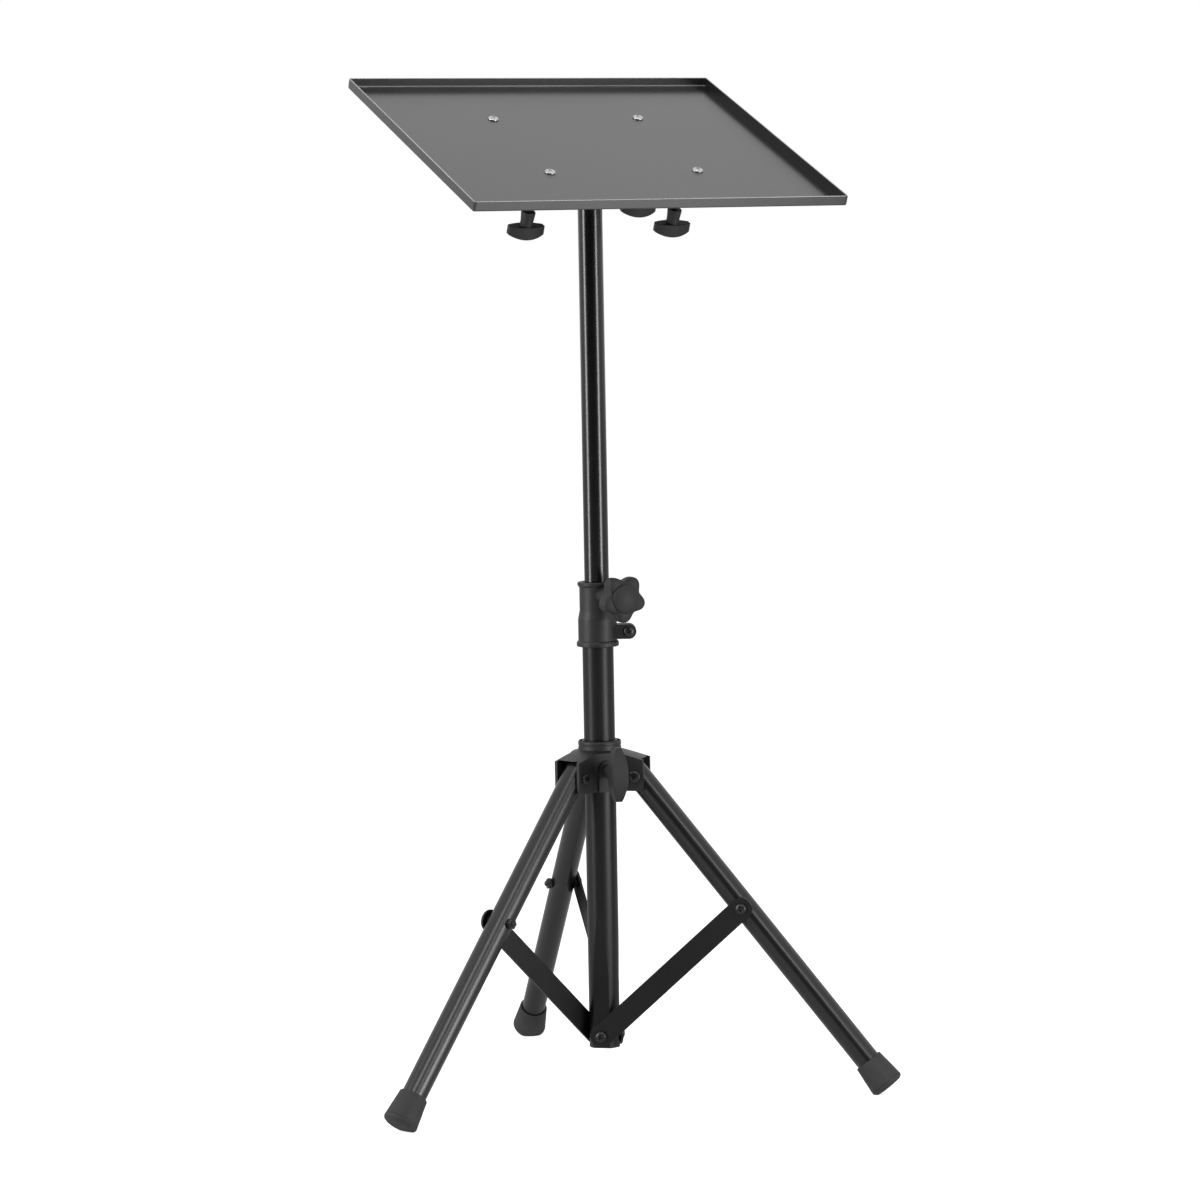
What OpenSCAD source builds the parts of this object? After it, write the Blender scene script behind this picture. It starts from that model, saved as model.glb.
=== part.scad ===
// Tripod stand with a tilting tray for a projector or a laptop.
// Millimetres, Z up. The origin is on the floor, on the axis of the post.
// The low front edge of the tray faces -Y.

/* [Tray] */
// Width of the tray over its lips
tray_w = 360; // [280:1:440]
// Depth of the tray over its lips
tray_d = 290; // [220:1:360]
// Thickness of the tray sheet
tray_t = 1.2; // [0.8:0.1:2]
// Height of the lips above the tray surface
lip_h = 8; // [5:0.5:14]
// Slope of the tray as it stands, front edge down
tray_tilt = 23; // [0:1:40]
// Distance between the left and right tray screws
screw_gap_x = 144; // [120:1:180]
// Distance between the front and back tray screws
screw_gap_y = 126; // [112:1:160]
// Diameter of the tray screws
screw_d = 5; // [4:0.5:6]
// Diameter of the tray screw heads
screw_head_d = 9.6; // [8:0.1:12]

/* [Tray rails] */
// Width of each rail
rail_w = 24; // [18:1:30]
// Thickness of the rail sheet
rail_t = 2; // [1.5:0.1:3]
// Drop of the rail floor below the tray sheet
rail_drop = 39; // [36:1:50]
// Distance between the front and back hand screws
grip_gap_y = 68; // [60:1:76]
// Diameter of the hand screw threads
grip_stud_d = 6; // [5:0.5:8]
// Turned-out length of the hand screws
grip_out = 5; // [0:0.5:8]
// Turned-out length of the loose hand screw at the back right
loose_grip_out = 14; // [5:0.5:18]

/* [Tilt joint] */
// Distance from the tilt pivot up to the tray surface
pivot_drop = 32; // [30:0.5:36]
// Height of the tilt pivot above the floor
pivot_z = 817.5; // [745:0.5:885]
// Width of the head on the mast
head_w = 29.6; // [26:0.1:34]
// Radius of the rounded head
head_r = 10; // [8:0.5:12]
// Diameter of the tilt bolt
tilt_bolt_d = 8; // [6:0.5:9]
// Thickness of the yoke plate and of its ears
yoke_t = 3; // [2:0.1:4]

/* [Tubes] */
// Outside diameter of the mast
mast_d = 22; // [19:0.5:25]
// Wall of the mast, the post and the legs
tube_t = 1.4; // [1:0.1:2]
// Length of the mast tube below the head
mast_len = 420; // [400:1:460]
// Outside diameter of the post
post_d = 28; // [26:0.5:32]
// Height of the lower end of the post
post_z = 38; // [30:1:60]
// Height of the upper end of the post
post_top = 424; // [410:1:440]
// Distance from the post axis to the pressed flats
flat_r = 12; // [11.5:0.1:13]
// Length of the pressed flats
flat_len = 64; // [56:1:80]
// Length over which a flat runs out
flat_runout = 56; // [40:1:90]

/* [Collar] */
// Height of the clamp collar
collar_h = 58; // [54:1:70]
// Wall of the collar around the post
collar_wall = 3.4; // [2.5:0.1:5]
// Height of the star grip above the foot of the collar
star_up = 46; // [44:1:50]
// Radius of the star grip
star_r = 21.5; // [17:0.5:26]
// Direction of the star grip
star_azimuth = -87; // [-100:1:-80]
// Direction of the clamp ears
ear_azimuth = -25; // [-35:1:-15]

/* [Hub] */
// Width of each hub arm
arm_w = 30; // [28:0.5:34]
// Reach of each hub arm from the axis
arm_r = 43; // [41:0.5:48]
// Height of the hub body
hub_h = 36; // [34:0.5:42]
// Distance from the axis to a leg pivot
leg_pivot_r = 35; // [34:0.5:38]
// Diameter of the leg pivot screws
leg_screw_d = 6; // [5:0.5:8]
// Tall size of the wing grip
wing_l = 48; // [36:1:56]

/* [Legs] */
// Number of legs
leg_count = 3; // [3:1:3]
// Direction of the first leg
first_leg = -39.5; // [-45:0.5:-35]
// Angle of each leg from the vertical
leg_splay = 39; // [36:0.5:42]
// Outside diameter of a leg
leg_d = 22; // [19:0.5:22.5]
// Length of a leg from its pivot to the end of the foot
leg_len = 357.5; // [320:0.5:400]
// Length of a rubber foot
foot_len = 30; // [26:0.5:36]
// Largest diameter of a rubber foot
foot_d = 32; // [30:0.5:36]

/* [Braces] */
// Distance from the leg pivot to the brace bolt on the leg
brace_on_leg = 151.5; // [130:0.5:170]
// Height of the lower brace bolts
brace_z = 47; // [44:0.5:50]
// Width of a brace
brace_w = 20; // [16:0.5:22]
// Thickness of a brace
brace_t = 2.5; // [2:0.1:3]
// Diameter of the brace bolts
brace_bolt_d = 5; // [4:0.5:6]

/* [Hidden] */
$fn = 96;
// Running gap on the radius of a pin, and of a tube that slides in another
pin_gap = 0.05;
// Gap between flat faces that turn or slide past each other
face_gap = 0.3;
// Extra length of a cutting body
cut = 1;
// Size of a cutting body that has to pass the whole part
far = 1200;

// Length of a thread that shows past its nut
thread_over = 2;

tray_under = tray_t;
lip_t = tray_t;
rail_floor = tray_under + rail_drop;
rail_flange = 26;
rail_half = screw_gap_y / 2 + rail_flange / 2;
rail_floor_half = screw_gap_y / 2 - rail_flange / 2;
grip_nut_h = 4.5;
grip_nut_d = 11.6;
grip_top = rail_floor + yoke_t;
grip_boss_d = 13;
grip_boss_h = 13;
grip_bar = [34, 14, 12];
grip_stud_len = 22;
// Half length of a grip's lens before its tips are cut, and rise of its arch, as shares of the bar
lens_share = 0.62;
arch_share = 0.33;
screw_head_h = 2.6;
screw_nut_h = 4;
screw_nut_d = 9.2;
yoke_margin = 10;
yoke_w = screw_gap_x + 2 * yoke_margin;
yoke_d = grip_gap_y + 2 * yoke_margin;
window_w = head_w + 2 * face_gap;
window_d = yoke_d - 2 * yoke_margin;
ear_half = 9;
tilt_head_h = 5.5;
tilt_nut_h = 6.5;
tilt_head_d = 15;

mast_r = mast_d / 2;
head_cheek = 5;
mast_top = pivot_z - head_r - head_cheek;
mast_bottom = mast_top - mast_len;
mast_in_r = mast_r - tube_t;
head_plug = 26;
bush_h = 24;
post_r = post_d / 2;
post_in_r = post_r - tube_t;
flat_tilt = atan((post_r - flat_r) / flat_runout);
plug_h = 20;
plug_rim = 2;
plug_core = 5;

post_in_collar = 24;
collar_z = post_top - post_in_collar;
collar_r = post_r + collar_wall;
neck_step = 1.6;
collar_neck_r = collar_r - neck_step;
flange_over = 1.6;
flange_h = 5;
top_flange_h = 4;
neck_z = 32;
shoulder_z = 25;
star_z = collar_z + star_up;
boss_r = 9;
boss_reach = 27;
star_stud_d = 8;
star_h = 20;
star_base = 39;
star_dome_r = 13.5;
star_dome_h = 6;
star_dome_sphere = 30;
star_neck = 6;
star_neck_r = 8;
star_lobes = 5;
star_wave = 0.145;
mast_room = 1;
clamp_slot = 3;
clamp_ear_t = 5.5;
clamp_ear_r = 6.7;
clamp_ear_out = 28;
clamp_ear_up = 13;
clamp_ear_z = collar_z + clamp_ear_up;
clamp_root = 1;
clamp_screw_d = 5;
clamp_head_d = 10;
clamp_head_h = 3.4;
clamp_nut_d = 9.6;
clamp_nut_h = 4;

// Height above the floor at which a leg's axis leaves its foot
foot_lift = 6.17;
leg_pivot_z = leg_len * cos(leg_splay) + foot_lift;
pivot_in_hub = 13;
hub_z = leg_pivot_z - pivot_in_hub;
hub_top = hub_z + hub_h;
hub_ring_wall = 5;
hub_ring_r = post_r + hub_ring_wall;
hub_ring_h = 8;
arm_wall = 3;
web_r = 23;
arm_gap = arm_w - 2 * arm_wall;
hub_sleeve_wall = 3;
hub_sleeve_r = post_r + hub_sleeve_wall;
hub_roof_r = 50;
hub_roof_drop = 9.5;
hub_roof_rise = 1.5;
roof_over_pivot = 16;
roof_z = leg_pivot_z + roof_over_pivot;
leg_stub = 10;
wing_azimuth = first_leg - 60;
facet_r = sqrt(pow(web_r, 2) + pow(arm_w / 2, 2)) * cos(60 - atan2(arm_w / 2, web_r));
wing_up = 19;
wing_z = hub_z + wing_up;
wing_boss_w = 18;
wing_boss_out = 3;
wing_stud_d = 6;
wing_neck_d = 13;
wing_base = 48;
wing_seat = 5;
wing_bar = [wing_l, 15, 17];
leg_head_d = 11;
leg_nut_d = 9;
leg_head_h = 2.6;

leg_r = leg_d / 2;
foot_fit = 0.05;
foot_wall = 2;
foot_sole = 6;
foot_round = 4;
brace_bolt_r = leg_pivot_r + brace_on_leg * sin(leg_splay);
brace_bolt_z = leg_pivot_z - brace_on_leg * cos(leg_splay);
brace_len = norm([brace_bolt_r, brace_bolt_z - brace_z]);
brace_rise = atan2(brace_bolt_z - brace_z, brace_bolt_r);
brace_in = flat_r + face_gap;
brace_out = brace_in + brace_t;
brace_head_d = 10.4;
brace_head_h = 3.4;
brace_nut_d = 10;
brace_nut_h = 4.5;
brace_spacer_r = 6;
foot_chamfer = 0.6;

function leg_azimuth(i) = first_leg + i * 360 / leg_count;
function corner(i) = [i % 2 == 0 ? -1 : 1, i < 2 ? -1 : 1];

// Places children in the plane of a leg: +X runs outward, the brace lies on the -Y side.
module leg_plane(i) {
    rotate([0, 0, leg_azimuth(i)])
        children();
}

// Places children on a leg: +Z runs from its pivot down to its foot.
module along_leg(i) {
    leg_plane(i)
        translate([leg_pivot_r, 0, leg_pivot_z])
            rotate([0, 180 - leg_splay, 0])
                children();
}

// Places children on the tray: the origin is the middle of its surface, +Z is its normal.
module on_tray() {
    translate([0, 0, pivot_z])
        rotate([tray_tilt, 0, 0])
            translate([0, 0, pivot_drop])
                children();
}

// A cylinder that lies along X from one place to another.
module bar_x(r, x0, x1) {
    translate([x0, 0, 0])
        rotate([0, 90, 0])
            cylinder(r = r, h = x1 - x0);
}

// A cylinder that lies along Y from one place to another.
module bar_y(r, y0, y1) {
    translate([0, y0, 0])
        rotate([-90, 0, 0])
            cylinder(r = r, h = y1 - y0);
}

// A hex nut with its corners on a circle, standing on the XY plane.
module hex(d, h) {
    cylinder(d = d, h = h, $fn = 6);
}

// A pan head that stands on the XY plane.
module pan_head(d, h) {
    intersection() {
        cylinder(d = d, h = h);
        translate([0, 0, h - d])
            sphere(r = d);
    }
}

// The bar of a hand grip, with its neck below: a lens in plan with cut tips and an arched back.
module grip(bar, neck_d, neck_h) {
    lens_r = (pow(bar[0] * lens_share, 2) + pow(bar[1] / 2, 2)) / bar[1];
    arch_h = bar[2] * arch_share;
    arch_r = (pow(bar[0] / 2, 2) + pow(arch_h, 2)) / (2 * arch_h);
    cylinder(d = neck_d, h = neck_h + cut);
    translate([0, 0, neck_h])
        intersection() {
            translate([-bar[0] / 2, -bar[1] / 2, 0])
                cube(bar);
            translate([0, lens_r - bar[1] / 2, 0])
                cylinder(r = lens_r, h = bar[2]);
            translate([0, bar[1] / 2 - lens_r, 0])
                cylinder(r = lens_r, h = bar[2]);
            translate([0, 0, bar[2] - arch_r])
                bar_y(arch_r, -bar[1], bar[1]);
        }
}

// The outside of the post, or its inside when inset by the wall, with the three pressed flats.
module post_form(inset, z0, z1) {
    difference() {
        translate([0, 0, z0])
            cylinder(r = post_r - inset, h = z1 - z0);
        for (i = [0 : leg_count - 1])
            leg_plane(i) {
                translate([-far / 2, -(flat_r - inset) - far, z0 - cut])
                    cube([far, far, post_z + flat_len - z0 + cut]);
                translate([0, -(flat_r - inset), post_z + flat_len])
                    rotate([flat_tilt, 0, 0])
                        translate([-far / 2, -far, -cut])
                            cube([far, far, far]);
            }
    }
}

module post_tube() {
    color("#26272a")
        difference() {
            post_form(0, post_z, post_top);
            post_form(tube_t, post_z - cut, post_top + cut);
            for (i = [0 : leg_count - 1])
                leg_plane(i)
                    translate([0, 0, brace_z])
                        bar_y(brace_bolt_d / 2 + pin_gap, -post_r, 0);
        }
}

module post_plug() {
    color("#1c1c1e")
        difference() {
            union() {
                post_form(tube_t + pin_gap, post_z, post_z + plug_h);
                post_form(0, post_z - plug_rim, post_z);
            }
            for (i = [0 : leg_count - 1])
                leg_plane(i)
                    translate([0, 0, brace_z])
                        bar_y(brace_bolt_d / 2 + pin_gap, -post_r, -plug_core);
        }
}

module brace_screw(i) {
    color("#3a3b3e")
        leg_plane(i)
            translate([0, 0, brace_z]) {
                bar_y(brace_bolt_d / 2, -brace_out - face_gap - cut, -plug_core - face_gap);
                translate([0, -brace_out - face_gap, 0])
                    rotate([90, 0, 0])
                        pan_head(brace_head_d, brace_head_h);
            }
}

module collar_body() {
    rotate_extrude()
        polygon([
            [mast_r + pin_gap, post_top],
            [post_r + pin_gap, post_top],
            [post_r + pin_gap, collar_z],
            [collar_r + flange_over, collar_z],
            [collar_r + flange_over, collar_z + flange_h],
            [collar_r, collar_z + flange_h + cut],
            [collar_r, collar_z + shoulder_z],
            [collar_neck_r, collar_z + neck_z],
            [collar_neck_r, collar_z + collar_h - top_flange_h - cut],
            [collar_neck_r + flange_over, collar_z + collar_h - top_flange_h],
            [collar_neck_r + flange_over, collar_z + collar_h],
            [mast_r + pin_gap, collar_z + collar_h]
        ]);
}

module clamp_ears() {
    rotate([0, 0, ear_azimuth])
        translate([0, 0, clamp_ear_z])
            for (side = [-1, 1])
                translate([0, side * (clamp_slot + clamp_ear_t) / 2, 0]) {
                    translate([post_r + clamp_root, -clamp_ear_t / 2, -clamp_ear_r])
                        cube([clamp_ear_out - post_r - clamp_root, clamp_ear_t, 2 * clamp_ear_r]);
                    translate([clamp_ear_out, 0, 0])
                        bar_y(clamp_ear_r, -clamp_ear_t / 2, clamp_ear_t / 2);
                }
}

module post_collar() {
    color("#2c2d2f")
        difference() {
            union() {
                collar_body();
                clamp_ears();
                rotate([0, 0, star_azimuth])
                    translate([0, 0, star_z])
                        difference() {
                            bar_x(boss_r, 0, boss_reach);
                            translate([0, 0, -boss_r - cut])
                                cylinder(r = mast_r + mast_room, h = 2 * (boss_r + cut));
                        }
            }
            rotate([0, 0, ear_azimuth])
                translate([post_r - cut, -clamp_slot / 2, collar_z - cut])
                    cube([2 * clamp_ear_out, clamp_slot, post_in_collar + cut]);
            rotate([0, 0, ear_azimuth])
                translate([clamp_ear_out, 0, clamp_ear_z])
                    bar_y(clamp_screw_d / 2 + pin_gap, -clamp_ear_out, clamp_ear_out);
            rotate([0, 0, star_azimuth])
                translate([0, 0, star_z])
                    bar_x(star_stud_d / 2 + pin_gap, 0, boss_reach + cut);
        }
}

module collar_screw() {
    reach = clamp_slot / 2 + clamp_ear_t;
    color("#3a3b3e")
        rotate([0, 0, ear_azimuth])
            translate([clamp_ear_out, 0, clamp_ear_z]) {
                bar_y(clamp_screw_d / 2, -reach - cut, reach + cut);
                translate([0, -reach, 0])
                    rotate([90, 0, 0])
                        pan_head(clamp_head_d, clamp_head_h);
                translate([0, reach, 0])
                    rotate([-90, 0, 0])
                        hex(clamp_nut_d, clamp_nut_h);
            }
}

// Outline of the star grip, one lobe down: a circle whose radius swells once for each lobe.
function star_point(a) =
    star_r * (1 - star_wave + star_wave * cos(star_lobes * a)) * [sin(a), -cos(a)];

module star_grip() {
    color("#2c2d2f")
        rotate([0, 0, star_azimuth])
            translate([0, 0, star_z]) {
                bar_x(star_stud_d / 2, mast_r + face_gap, star_base + cut);
                bar_x(star_neck_r, star_base - star_neck, star_base + cut);
                translate([star_base, 0, 0])
                    rotate([90, 0, 90]) {
                        linear_extrude(star_h - star_dome_h)
                            polygon([for (a = [0 : 3 : 357]) star_point(a)]);
                        intersection() {
                            cylinder(r = star_dome_r, h = star_h);
                            translate([0, 0, star_h - star_dome_sphere])
                                sphere(r = star_dome_sphere);
                        }
                    }
            }
}

// A point of the hub's plan, given in the frame of one arm.
function arm_point(i, x, y) =
    let (a = leg_azimuth(i)) [x * cos(a) - y * sin(a), x * sin(a) + y * cos(a)];

// The plan of the hub: three arms, joined by flat webs between their roots.
module hub_plan() {
    polygon([
        for (i = [0 : leg_count - 1])
            for (q = [[web_r, -1], [arm_r, -1], [arm_r, 1], [web_r, 1]])
                arm_point(i, q[0], q[1] * arm_w / 2)
    ]);
}

module hub_boss() {
    rotate([0, 0, wing_azimuth]) {
        translate([facet_r - cut, -wing_boss_w / 2, hub_z])
            cube([wing_boss_out + cut, wing_boss_w, wing_z - hub_z]);
        translate([0, 0, wing_z])
            bar_x(wing_boss_w / 2, facet_r - cut, facet_r + wing_boss_out);
    }
}

module hub() {
    color("#2c2d2f")
        difference() {
            union() {
                intersection() {
                    translate([0, 0, hub_z])
                        linear_extrude(hub_h + hub_ring_h / 2)
                            hub_plan();
                    rotate_extrude()
                        polygon([[0, hub_z - cut], [hub_roof_r, hub_z - cut],
                                 [hub_roof_r, hub_top - hub_roof_drop],
                                 [post_r + cut, hub_top + hub_roof_rise],
                                 [0, hub_top + hub_roof_rise]]);
                }
                hub_boss();
                translate([0, 0, hub_z])
                    cylinder(r = hub_ring_r, h = hub_h + hub_ring_h);
            }
            translate([0, 0, hub_z - cut])
                cylinder(r = post_r + pin_gap, h = hub_h + hub_ring_h + 2 * cut);
            for (i = [0 : leg_count - 1])
                leg_plane(i) {
                    difference() {
                        translate([0, -arm_gap / 2, hub_z - cut])
                            cube([arm_r + cut, arm_gap, roof_z - hub_z + cut]);
                        translate([0, 0, hub_z - 2 * cut])
                            cylinder(r = hub_sleeve_r, h = hub_h + hub_ring_h);
                    }
                    translate([leg_pivot_r, 0, leg_pivot_z])
                        bar_y(leg_screw_d / 2 + pin_gap, -arm_w, arm_w);
                }
            rotate([0, 0, wing_azimuth])
                translate([0, 0, wing_z])
                    bar_x(wing_stud_d / 2 + pin_gap, 0, wing_base);
        }
}

module wing_grip() {
    color("#2c2d2f")
        rotate([0, 0, wing_azimuth])
            translate([0, 0, wing_z]) {
                bar_x(wing_stud_d / 2, post_r + face_gap, wing_base);
                translate([facet_r + wing_boss_out + wing_seat, 0, 0])
                    rotate([0, 90, 0])
                        grip(wing_bar, wing_neck_d, wing_base - facet_r - wing_boss_out - wing_seat);
            }
}

module leg_screw(i) {
    color("#3a3b3e")
        leg_plane(i)
            translate([leg_pivot_r, 0, leg_pivot_z]) {
                bar_y(leg_screw_d / 2, -arm_w / 2 - cut, arm_w / 2 + cut);
                translate([0, -arm_w / 2, 0])
                    rotate([90, 0, 0])
                        pan_head(leg_head_d, leg_head_h);
                translate([0, arm_w / 2, 0])
                    rotate([-90, 0, 0])
                        pan_head(leg_nut_d, leg_head_h);
            }
}

module leg_tube(i) {
    color("#26272a")
        along_leg(i)
            difference() {
                translate([0, 0, -leg_stub])
                    cylinder(r = leg_r, h = leg_len - foot_sole + leg_stub);
                translate([0, 0, -leg_stub - cut])
                    cylinder(r = leg_r - tube_t, h = leg_len + leg_stub);
                bar_y(leg_screw_d / 2 + pin_gap, -leg_d, leg_d);
                translate([0, 0, brace_on_leg])
                    bar_y(brace_bolt_d / 2 + pin_gap, -leg_d, leg_d);
            }
}

module foot(i) {
    top_r = leg_r + foot_wall;
    color("#202022")
        difference() {
            along_leg(i)
                translate([0, 0, leg_len - foot_len])
                    rotate_extrude()
                        polygon(concat(
                            [[0, foot_len - foot_sole], [leg_r + foot_fit, foot_len - foot_sole],
                             [leg_r + foot_fit, 0], [top_r - foot_chamfer, 0], [top_r, foot_chamfer],
                             [foot_d / 2, foot_len - foot_round]],
                            [for (a = [15 : 15 : 90])
                                [foot_d / 2 - foot_round * (1 - cos(a)),
                                 foot_len - foot_round * (1 - sin(a))]],
                            [[0, foot_len]]
                        ));
            translate([-far / 2, -far / 2, -far])
                cube([far, far, far]);
        }
}

// The bolt through the leg, with its nut and its spacer beside the brace.
module brace_pin(i) {
    color("#3a3b3e")
        along_leg(i)
            translate([0, 0, brace_on_leg]) {
                bar_y(brace_bolt_d / 2, -leg_r - cut, leg_r + brace_nut_h + thread_over);
                bar_y(brace_spacer_r, -brace_in + face_gap, -leg_r);
                translate([0, leg_r, 0])
                    rotate([-90, 0, 0])
                        hex(brace_nut_d, brace_nut_h);
            }
}

// Places children on a brace: +X runs from its lower bolt to its upper one, +Y is outward.
module along_brace(i) {
    leg_plane(i)
        translate([0, -brace_in, brace_z])
            rotate([90, 0, 0])
                rotate([0, 0, brace_rise])
                    children();
}

module brace(i) {
    color("#26272a")
        along_brace(i)
            linear_extrude(brace_t)
                difference() {
                    union() {
                        translate([0, -brace_w / 2])
                            square([brace_len, brace_w]);
                        for (x = [0, brace_len])
                            translate([x, 0])
                                circle(d = brace_w);
                    }
                    for (x = [0, brace_len])
                        translate([x, 0])
                            circle(r = brace_bolt_d / 2 + pin_gap);
                }
}

// The head of the upper brace bolt, which turns with the brace.
module brace_bolt(i) {
    color("#3a3b3e")
        along_brace(i)
            translate([brace_len, 0, 0]) {
                cylinder(d = brace_bolt_d, h = brace_t + cut);
                translate([0, 0, brace_t])
                    pan_head(brace_head_d, brace_head_h);
            }
}

module mast_bush() {
    color("#1c1c1e")
        translate([0, 0, mast_bottom - face_gap - bush_h])
            cylinder(r = post_in_r - pin_gap, h = bush_h);
}

module mast_tube() {
    color("#26272a")
        translate([0, 0, mast_bottom])
            difference() {
                cylinder(r = mast_r, h = mast_len);
                translate([0, 0, -cut])
                    cylinder(r = mast_in_r, h = mast_len + 2 * cut);
            }
}

module mast_head() {
    color("#1c1c1e")
        difference() {
            union() {
                translate([0, 0, mast_top - head_plug])
                    cylinder(r = mast_in_r - pin_gap, h = head_plug);
                translate([-head_w / 2, -head_r, mast_top])
                    cube([head_w, 2 * head_r, pivot_z - mast_top]);
                translate([0, 0, pivot_z])
                    bar_x(head_r, -head_w / 2, head_w / 2);
            }
            translate([0, 0, pivot_z])
                bar_x(tilt_bolt_d / 2 + pin_gap, -head_w, head_w);
        }
}

module yoke_plate() {
    ear_x = window_w / 2;
    color("#26272a")
        on_tray()
            difference() {
                union() {
                    translate([-yoke_w / 2, -yoke_d / 2, -grip_top])
                        cube([yoke_w, yoke_d, yoke_t]);
                    for (side = [-1, 1])
                        translate([side * (ear_x + yoke_t / 2), 0, 0]) {
                            translate([-yoke_t / 2, -ear_half, -grip_top])
                                cube([yoke_t, 2 * ear_half, grip_top - pivot_drop]);
                            translate([0, 0, -pivot_drop])
                                bar_x(ear_half, -yoke_t / 2, yoke_t / 2);
                        }
                }
                translate([-window_w / 2, -window_d / 2, -grip_top - cut])
                    cube([window_w, window_d, yoke_t + 2 * cut]);
                translate([0, 0, -pivot_drop])
                    bar_x(tilt_bolt_d / 2 + pin_gap, -yoke_w, yoke_w);
                for (i = [0 : 3])
                    translate([corner(i)[0] * screw_gap_x / 2, corner(i)[1] * grip_gap_y / 2,
                               -grip_top - cut])
                        cylinder(r = grip_stud_d / 2 + pin_gap, h = yoke_t + 2 * cut);
            }
}

module tilt_bolt() {
    ear_out = window_w / 2 + yoke_t;
    color("#3a3b3e")
        translate([0, 0, pivot_z]) {
            bar_x(tilt_bolt_d / 2, -ear_out - cut, ear_out + tilt_nut_h + thread_over);
            translate([-ear_out - tilt_head_h, 0, 0])
                rotate([0, 90, 0])
                    hex(tilt_head_d, tilt_head_h);
            translate([ear_out, 0, 0])
                rotate([0, 90, 0])
                    hex(tilt_head_d, tilt_nut_h);
        }
}

// One rail under the tray: two flanges against the tray, two walls and a dropped floor.
module rail(side) {
    color("#26272a")
        on_tray()
            translate([side * screw_gap_x / 2, 0, 0])
                difference() {
                    union() {
                        for (end = [-1, 1]) {
                            translate([-rail_w / 2, end > 0 ? rail_floor_half : -rail_half,
                                       -tray_under - rail_t])
                                cube([rail_w, rail_half - rail_floor_half, rail_t]);
                            translate([-rail_w / 2,
                                       end > 0 ? rail_floor_half - rail_t : -rail_floor_half,
                                       -rail_floor])
                                cube([rail_w, rail_t, rail_drop]);
                            translate([0, end * grip_gap_y / 2, -rail_floor])
                                hex(grip_nut_d, rail_t + grip_nut_h);
                        }
                        translate([-rail_w / 2, -rail_floor_half, -rail_floor])
                            cube([rail_w, 2 * rail_floor_half, rail_t]);
                    }
                    for (end = [-1, 1]) {
                        translate([0, end * screw_gap_y / 2, -rail_floor])
                            cylinder(r = screw_d / 2 + pin_gap, h = rail_floor);
                        translate([0, end * grip_gap_y / 2, -rail_floor - cut])
                            cylinder(r = grip_stud_d / 2 + pin_gap, h = rail_drop / 2);
                    }
                }
}

module tray() {
    color("#232427")
        on_tray()
            difference() {
                translate([-tray_w / 2, -tray_d / 2, -tray_t])
                    cube([tray_w, tray_d, tray_t + lip_h]);
                translate([-tray_w / 2 + lip_t, -tray_d / 2 + lip_t, 0])
                    cube([tray_w - 2 * lip_t, tray_d - 2 * lip_t, lip_h + cut]);
                for (i = [0 : 3])
                    translate([corner(i)[0] * screw_gap_x / 2, corner(i)[1] * screw_gap_y / 2,
                               -tray_t - cut])
                        cylinder(r = screw_d / 2 + pin_gap, h = tray_t + 2 * cut);
            }
}

module tray_screw(i) {
    color("#8f9296")
        on_tray()
            translate([corner(i)[0] * screw_gap_x / 2, corner(i)[1] * screw_gap_y / 2, 0]) {
                pan_head(screw_head_d, screw_head_h);
                translate([0, 0, -tray_under - rail_t - screw_nut_h - thread_over])
                    cylinder(d = screw_d,
                             h = tray_under + rail_t + screw_nut_h + thread_over + cut);
                translate([0, 0, -tray_under - rail_t - screw_nut_h])
                    hex(screw_nut_d, screw_nut_h);
            }
}

module hand_screw(i) {
    drop = i < 3 ? grip_out : loose_grip_out;
    color("#2c2d2f")
        on_tray()
            translate([corner(i)[0] * screw_gap_x / 2, corner(i)[1] * grip_gap_y / 2,
                       -grip_top - drop]) {
                translate([0, 0, -cut])
                    cylinder(d = grip_stud_d, h = grip_stud_len + cut);
                mirror([0, 0, 1])
                    grip(grip_bar, grip_boss_d, grip_boss_h);
            }
}

post_tube();
post_plug();
post_collar();
collar_screw();
star_grip();
brace_screw(0);  // brace_screw_1
brace_screw(1);  // brace_screw_2
brace_screw(2);  // brace_screw_3
hub();
wing_grip();
leg_screw(0);  // leg_screw_1
leg_screw(1);  // leg_screw_2
leg_screw(2);  // leg_screw_3
leg_tube(0);  // leg_tube_1
leg_tube(1);  // leg_tube_2
leg_tube(2);  // leg_tube_3
foot(0);  // foot_1
foot(1);  // foot_2
foot(2);  // foot_3
brace_pin(0);  // brace_pin_1
brace_pin(1);  // brace_pin_2
brace_pin(2);  // brace_pin_3
brace(0);  // brace_1
brace(1);  // brace_2
brace(2);  // brace_3
brace_bolt(0);  // brace_bolt_1
brace_bolt(1);  // brace_bolt_2
brace_bolt(2);  // brace_bolt_3
mast_bush();
mast_tube();
mast_head();
yoke_plate();
tilt_bolt();
rail(-1);  // rail_left
rail(1);  // rail_right
tray();
tray_screw(0);  // tray_screw_1
tray_screw(1);  // tray_screw_2
tray_screw(2);  // tray_screw_3
tray_screw(3);  // tray_screw_4
hand_screw(0);  // hand_screw_1
hand_screw(1);  // hand_screw_2
hand_screw(2);  // hand_screw_3
hand_screw(3);  // hand_screw_4
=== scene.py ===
# %% [markdown]
# # A tripod stand with a tilting tray
#
# The stand is a folding tripod with a telescoping mast and a lipped sheet-metal tray,
# the kind that holds a projector or a laptop. This file is a lesson in dressing a
# finished CAD frame in Blender: the frame fixes every size and every place, and each
# cell below gives one piece of the stand its real shape, or one finish its real look.
#
# Everything is in metres. The floor is z = 0, the post stands on the origin, and the
# low front edge of the tray faces -Y.

# %% The frame
import bpy
import bmesh
from math import atan2, cos, degrees, hypot, pi, radians, sin, sqrt
from mathutils import Matrix, Vector


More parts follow.
